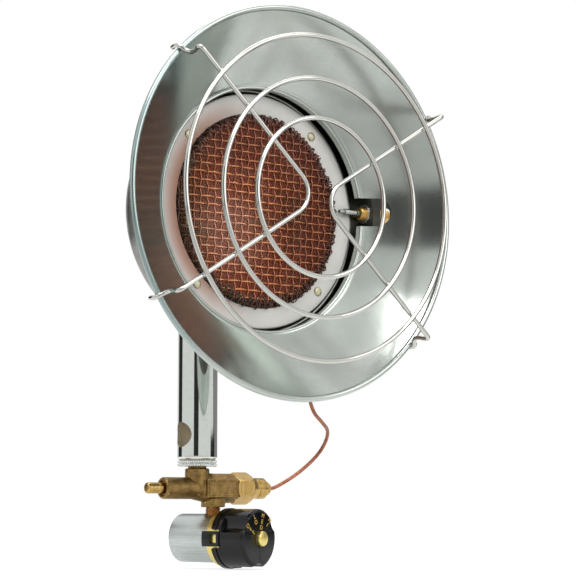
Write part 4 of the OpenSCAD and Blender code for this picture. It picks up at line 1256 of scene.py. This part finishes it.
def burner_mesh():
    """Two layers of cloth, each with its warp and its weft as a piece, and the hem."""
    coarse = {
        "radius": 59.4, "front": 67.8, "pitch": 5.0, "wire_r": 0.45, "crimp": 0.5, "steps": 8, "sides": 8,
        "wander": 0.12,
    }
    fine = {
        "radius": 57.9, "front": 66.5, "pitch": 1.15, "wire_r": 0.3, "crimp": 0.28, "steps": 2, "sides": 4,
        "wander": 0.04,
    }
    dim = mesh_wire("fine_mesh", HEAD, (160, 78, 52), (206, 118, 82), 0.5)
    # Painted shade: the warp, whose wires stand upright, gets a darker copy of the coarse mesh's colour than
    # the level weft wires
    shaded_warp = mesh_wire("shaded_warp_mesh", HEAD, (170, 88, 58), (222, 138, 94), 0.8)
    scorched = mesh_wire("scorched_wire", HEAD, (22, 15, 12), (114, 84, 66), 0, (0.14, 0.3))
    for name, shape, node, material in (
        ("coarse_mesh_warp", cloth(**coarse, warp=True, seed=4), "outer_mesh", shaded_warp),
        ("fine_mesh_warp", cloth(**fine, warp=True, seed=4), "inner_mesh", dim),
        ("coarse_mesh_weft", cloth(**coarse, warp=False, seed=3), None, None),
        ("fine_mesh_weft", cloth(**fine, warp=False, seed=3), None, dim),
        ("mesh_hem", fringe(coarse["radius"], coarse["front"]), None, scorched),
    ):
        nodes = [node] if node else []
        piece(name, shape, HEAD, "burner_mesh", "heater", nodes, material, outward=False, sharp=80)


# ---------- guard ----------

GUARD_Z, RING_WIRE_R, VEE_WIRE_R = 129.3, 1.5, 1.4
VEE_Z = GUARD_Z - RING_WIRE_R - VEE_WIRE_R + 0.3
VEE_HALF, APEX_BEND = 37.4, 13.5
VEE_TURNS = {"right": -5.3, "left": 180 - 5.3}
RING_RADII = {"outer": 97.2, "middle": 71.3, "inner": 47.4}


def guard_vee():
    """A bent wire: hooked over the rim, in along one radius, round the apex and out along another."""
    half = math.radians(VEE_HALF)
    apex_at = APEX_BEND / math.sin(half)
    hook = [(121.4, -5.2), (121.9, -3), (121.9, -0.6), (120.6, 1.9), (118.4, 2.9), (116.2, 4.4), (114.9, 7.5)]
    side_view = [
        *[(r, RIM_Z + z) for r, z in hook], (115.2, RIM_Z + 11), (116.2, RIM_Z + 14), (116.7, VEE_Z - 2.2),
        (116.1, VEE_Z - 0.7), (114.4, VEE_Z), (112, VEE_Z), (60, VEE_Z), (apex_at * math.cos(half), VEE_Z),
    ]
    leg = softened([(r * math.cos(half), r * math.sin(half), z) for r, z in side_view])
    sweep = 90 - VEE_HALF
    apex = [
        (apex_at + APEX_BEND * math.cos(a), APEX_BEND * math.sin(a), VEE_Z)
        for a in np.radians(np.linspace(180 - sweep, 180 + sweep, 25)[1:-1])
    ]
    return wire([*leg, *apex, *[(p[0], -p[1], p[2]) for p in reversed(leg)]], VEE_WIRE_R, 20)


def guard():
    for name, radius in RING_RADII.items():
        hoop = lathe(arc(radius, GUARD_Z, RING_WIRE_R, 0, 345, 23), 256)
        piece(f"guard_hoop_{name}", hoop, HEAD, "guard_wire", stands_for=[f"guard_ring_{name}"])

    vee = guard_vee()
    draw = random.Random(7)
    nugget = lathe([(0, -1.25), (0.9, -1.0), (1.5, -0.45), (1.65, 0), (1.5, 0.45), (0.9, 1.0), (0, 1.25)], 20)
    welds = []
    for name, turn in VEE_TURNS.items():
        node = f"guard_wire_{name}"
        shape = carried(vee, turned(turn, "Z"))
        piece(f"guard_vee_{name}", shape, HEAD, "guard_wire", stands_for=[node], outward=False)
        for angle in (turn - VEE_HALF, turn + VEE_HALF):
            for radius in RING_RADII.values():
                points = nugget[0] * [draw.uniform(1.0, 1.25) for _ in range(3)]
                place = turned(angle, "Z"), shift(radius, 0, GUARD_Z - RING_WIRE_R + 0.15)
                welds.append(carried((points, nugget[1]), *place))
    piece("guard_welds", joined(*welds), HEAD, "guard_wire")


regulator()
cover()
pressure_parts()
outlet()
knob_grip()
knob_fingers()
centre_cap()
dial()
valve_casting()
start_button()
valve_nuts()
lead()
probe()
probe_fittings()
knurled_ring()
mixing_tube()
reflector()
skirt()
pan()
clamp_ring()
burner_mesh()
guard()

# ---------- floor, light and what the metal reflects ----------

FLOOR_Z = cad_box[0].z - 0.0002
FLOOR_RADIUS, FLOOR_GREY = 3, 0.4
# What the floor gives off to the camera, and to mirrors near the heater and in front of it
EYE_LIFT, MIRROR_LIFT, MIRROR_FRONT = 0.72, 0.55, 0.08
middle = (cad_box[0] + cad_box[1]) / 2
to_camera = Vector((camera.location.x - middle.x, camera.location.y - middle.y, 0)).normalized()
to_right = Vector((-to_camera.y, to_camera.x, 0))


def direction(azimuth, elevation):
    """Azimuth is measured from the camera, positive to its right."""
    a, e = math.radians(azimuth), math.radians(elevation)
    return (to_camera * math.cos(a) + to_right * math.sin(a)) * math.cos(e) + Vector((0, 0, math.sin(e)))


def facing(thing, azimuth, elevation, distance):
    """Puts the thing at a distance from the heater's middle, turned to it."""
    place = middle + direction(azimuth, elevation) * distance
    thing.location = place
    thing.rotation_euler = (middle - place).to_track_quat("-Z", "Y").to_euler()
    scene.collection.objects.link(thing)


def straight_rays(tree, path):
    """1 on rays that reach the camera straight or through glass."""
    return calc(tree, "MAXIMUM", path["Is Camera Ray"], path["Is Transmission Ray"])


def studio_world():
    """White to the camera, and slightly darker near the horizon in reflections."""
    world = bpy.data.worlds.new("studio")
    world.use_nodes = True
    scene.world = world
    tree = world.node_tree
    tree.nodes.clear()
    height = add(tree, "SeparateXYZ", {0: add(tree, "TexCoord").outputs["Generated"]}).outputs["Z"]
    grade = {"From Min": 0.1, "From Max": 0.75, "To Min": 0.84, "To Max": 1.0}
    ceiling = add(tree, "MapRange", {"Value": height, **grade}).outputs[0]
    level = calc(tree, "MAXIMUM", ceiling, straight_rays(tree, add(tree, "LightPath").outputs))
    sky = add(tree, "Background", {"Color": (1, 1, 1, 1), "Strength": level})
    add(tree, "OutputWorld", {"Surface": sky.outputs[0]})


def lamp(name, azimuth, elevation, distance, size, power):
    data = bpy.data.lights.new(name, "AREA")
    data.size = size
    data.energy = power
    facing(bpy.data.objects.new(name, data), azimuth, elevation, distance)


def card(name, azimuth, elevation, distance, width, height, shade):
    """A dark panel that only reflections show, as the dark parts of a studio."""
    x, y = width / 2, height / 2
    mesh = bpy.data.meshes.new(name)
    mesh.from_pydata([(-x, -y, 0), (x, -y, 0), (x, y, 0), (-x, y, 0)], [], [(0, 1, 2, 3)])
    panel = bpy.data.objects.new(name, mesh)
    facing(panel, azimuth, elevation, distance)
    dark, tree = blank_material(name)
    glow = add(tree, "Emission", {"Color": (shade, shade, shade * 0.98, 1)})
    add(tree, "OutputMaterial", {"Surface": glow.outputs[0]})
    mesh.materials.append(dark)
    panel.visible_camera = panel.visible_diffuse = panel.visible_shadow = panel.visible_transmission = False


def floor_material():
    """Grey to light, lifted for the camera, darker towards it in reflections, and clear from below."""
    ground, tree = blank_material("floor")
    matte = add(tree, "BsdfDiffuse", {"Color": (FLOOR_GREY, FLOOR_GREY, FLOOR_GREY, 1)})
    path = add(tree, "LightPath").outputs
    geometry = add(tree, "NewGeometry").outputs
    ahead = vector(tree, "DOT_PRODUCT", geometry["Position"], to_camera.to_tuple())
    near = to_camera.dot(middle)
    fall = {"From Min": near + 0.08, "From Max": near + 0.4, "To Min": MIRROR_LIFT, "To Max": MIRROR_FRONT}
    falling = add(tree, "MapRange", {"Value": ahead, **fall}).outputs["Result"]
    mirror = calc(tree, "MULTIPLY", path["Is Glossy Ray"], falling)
    lift = calc(tree, "MULTIPLY_ADD", straight_rays(tree, path), EYE_LIFT, mirror)
    glow = add(tree, "Emission", {"Color": (1, 1, 1, 1), "Strength": lift})
    both = add(tree, "AddShader", {0: matte.outputs[0], 1: glow.outputs[0]})
    clear = add(tree, "BsdfTransparent").outputs[0]
    seen = add(tree, "MixShader", {0: geometry["Backfacing"], 1: both.outputs[0], 2: clear})
    add(tree, "OutputMaterial", {"Surface": seen.outputs[0]})
    return ground


def studio_floor():
    edge = [(FLOOR_RADIUS * math.cos(a), FLOOR_RADIUS * math.sin(a), 0) for a in circle_angles(96)]
    sheet = bpy.data.meshes.new("floor")
    sheet.from_pydata(edge, [], [list(range(len(edge)))])
    sheet.materials.append(floor_material())
    floor = shown("floor", sheet)
    floor.location = (middle.x, middle.y, FLOOR_Z)


studio_world()
lamp("key", -12, 62, 1.6, 0.9, 14)
lamp("fill", 55, 25, 1.6, 1.0, 6)
lamp("top", 170, 70, 1.5, 0.8, 5)
card("card_front", -6, 9, 2.6, 1.3, 1.2, 0.03)
card("card_low", 106, -10, 0.7, 0.45, 0.13, 0.02)
card("card_left", -119, 5, 1.4, 0.96, 1.6, 0.03)
card("card_right", 135, 5, 1.4, 1.5, 1.6, 0.28)
card("card_behind", 180, 5, 1.4, 0.8, 1.6, 0.3)
studio_floor()
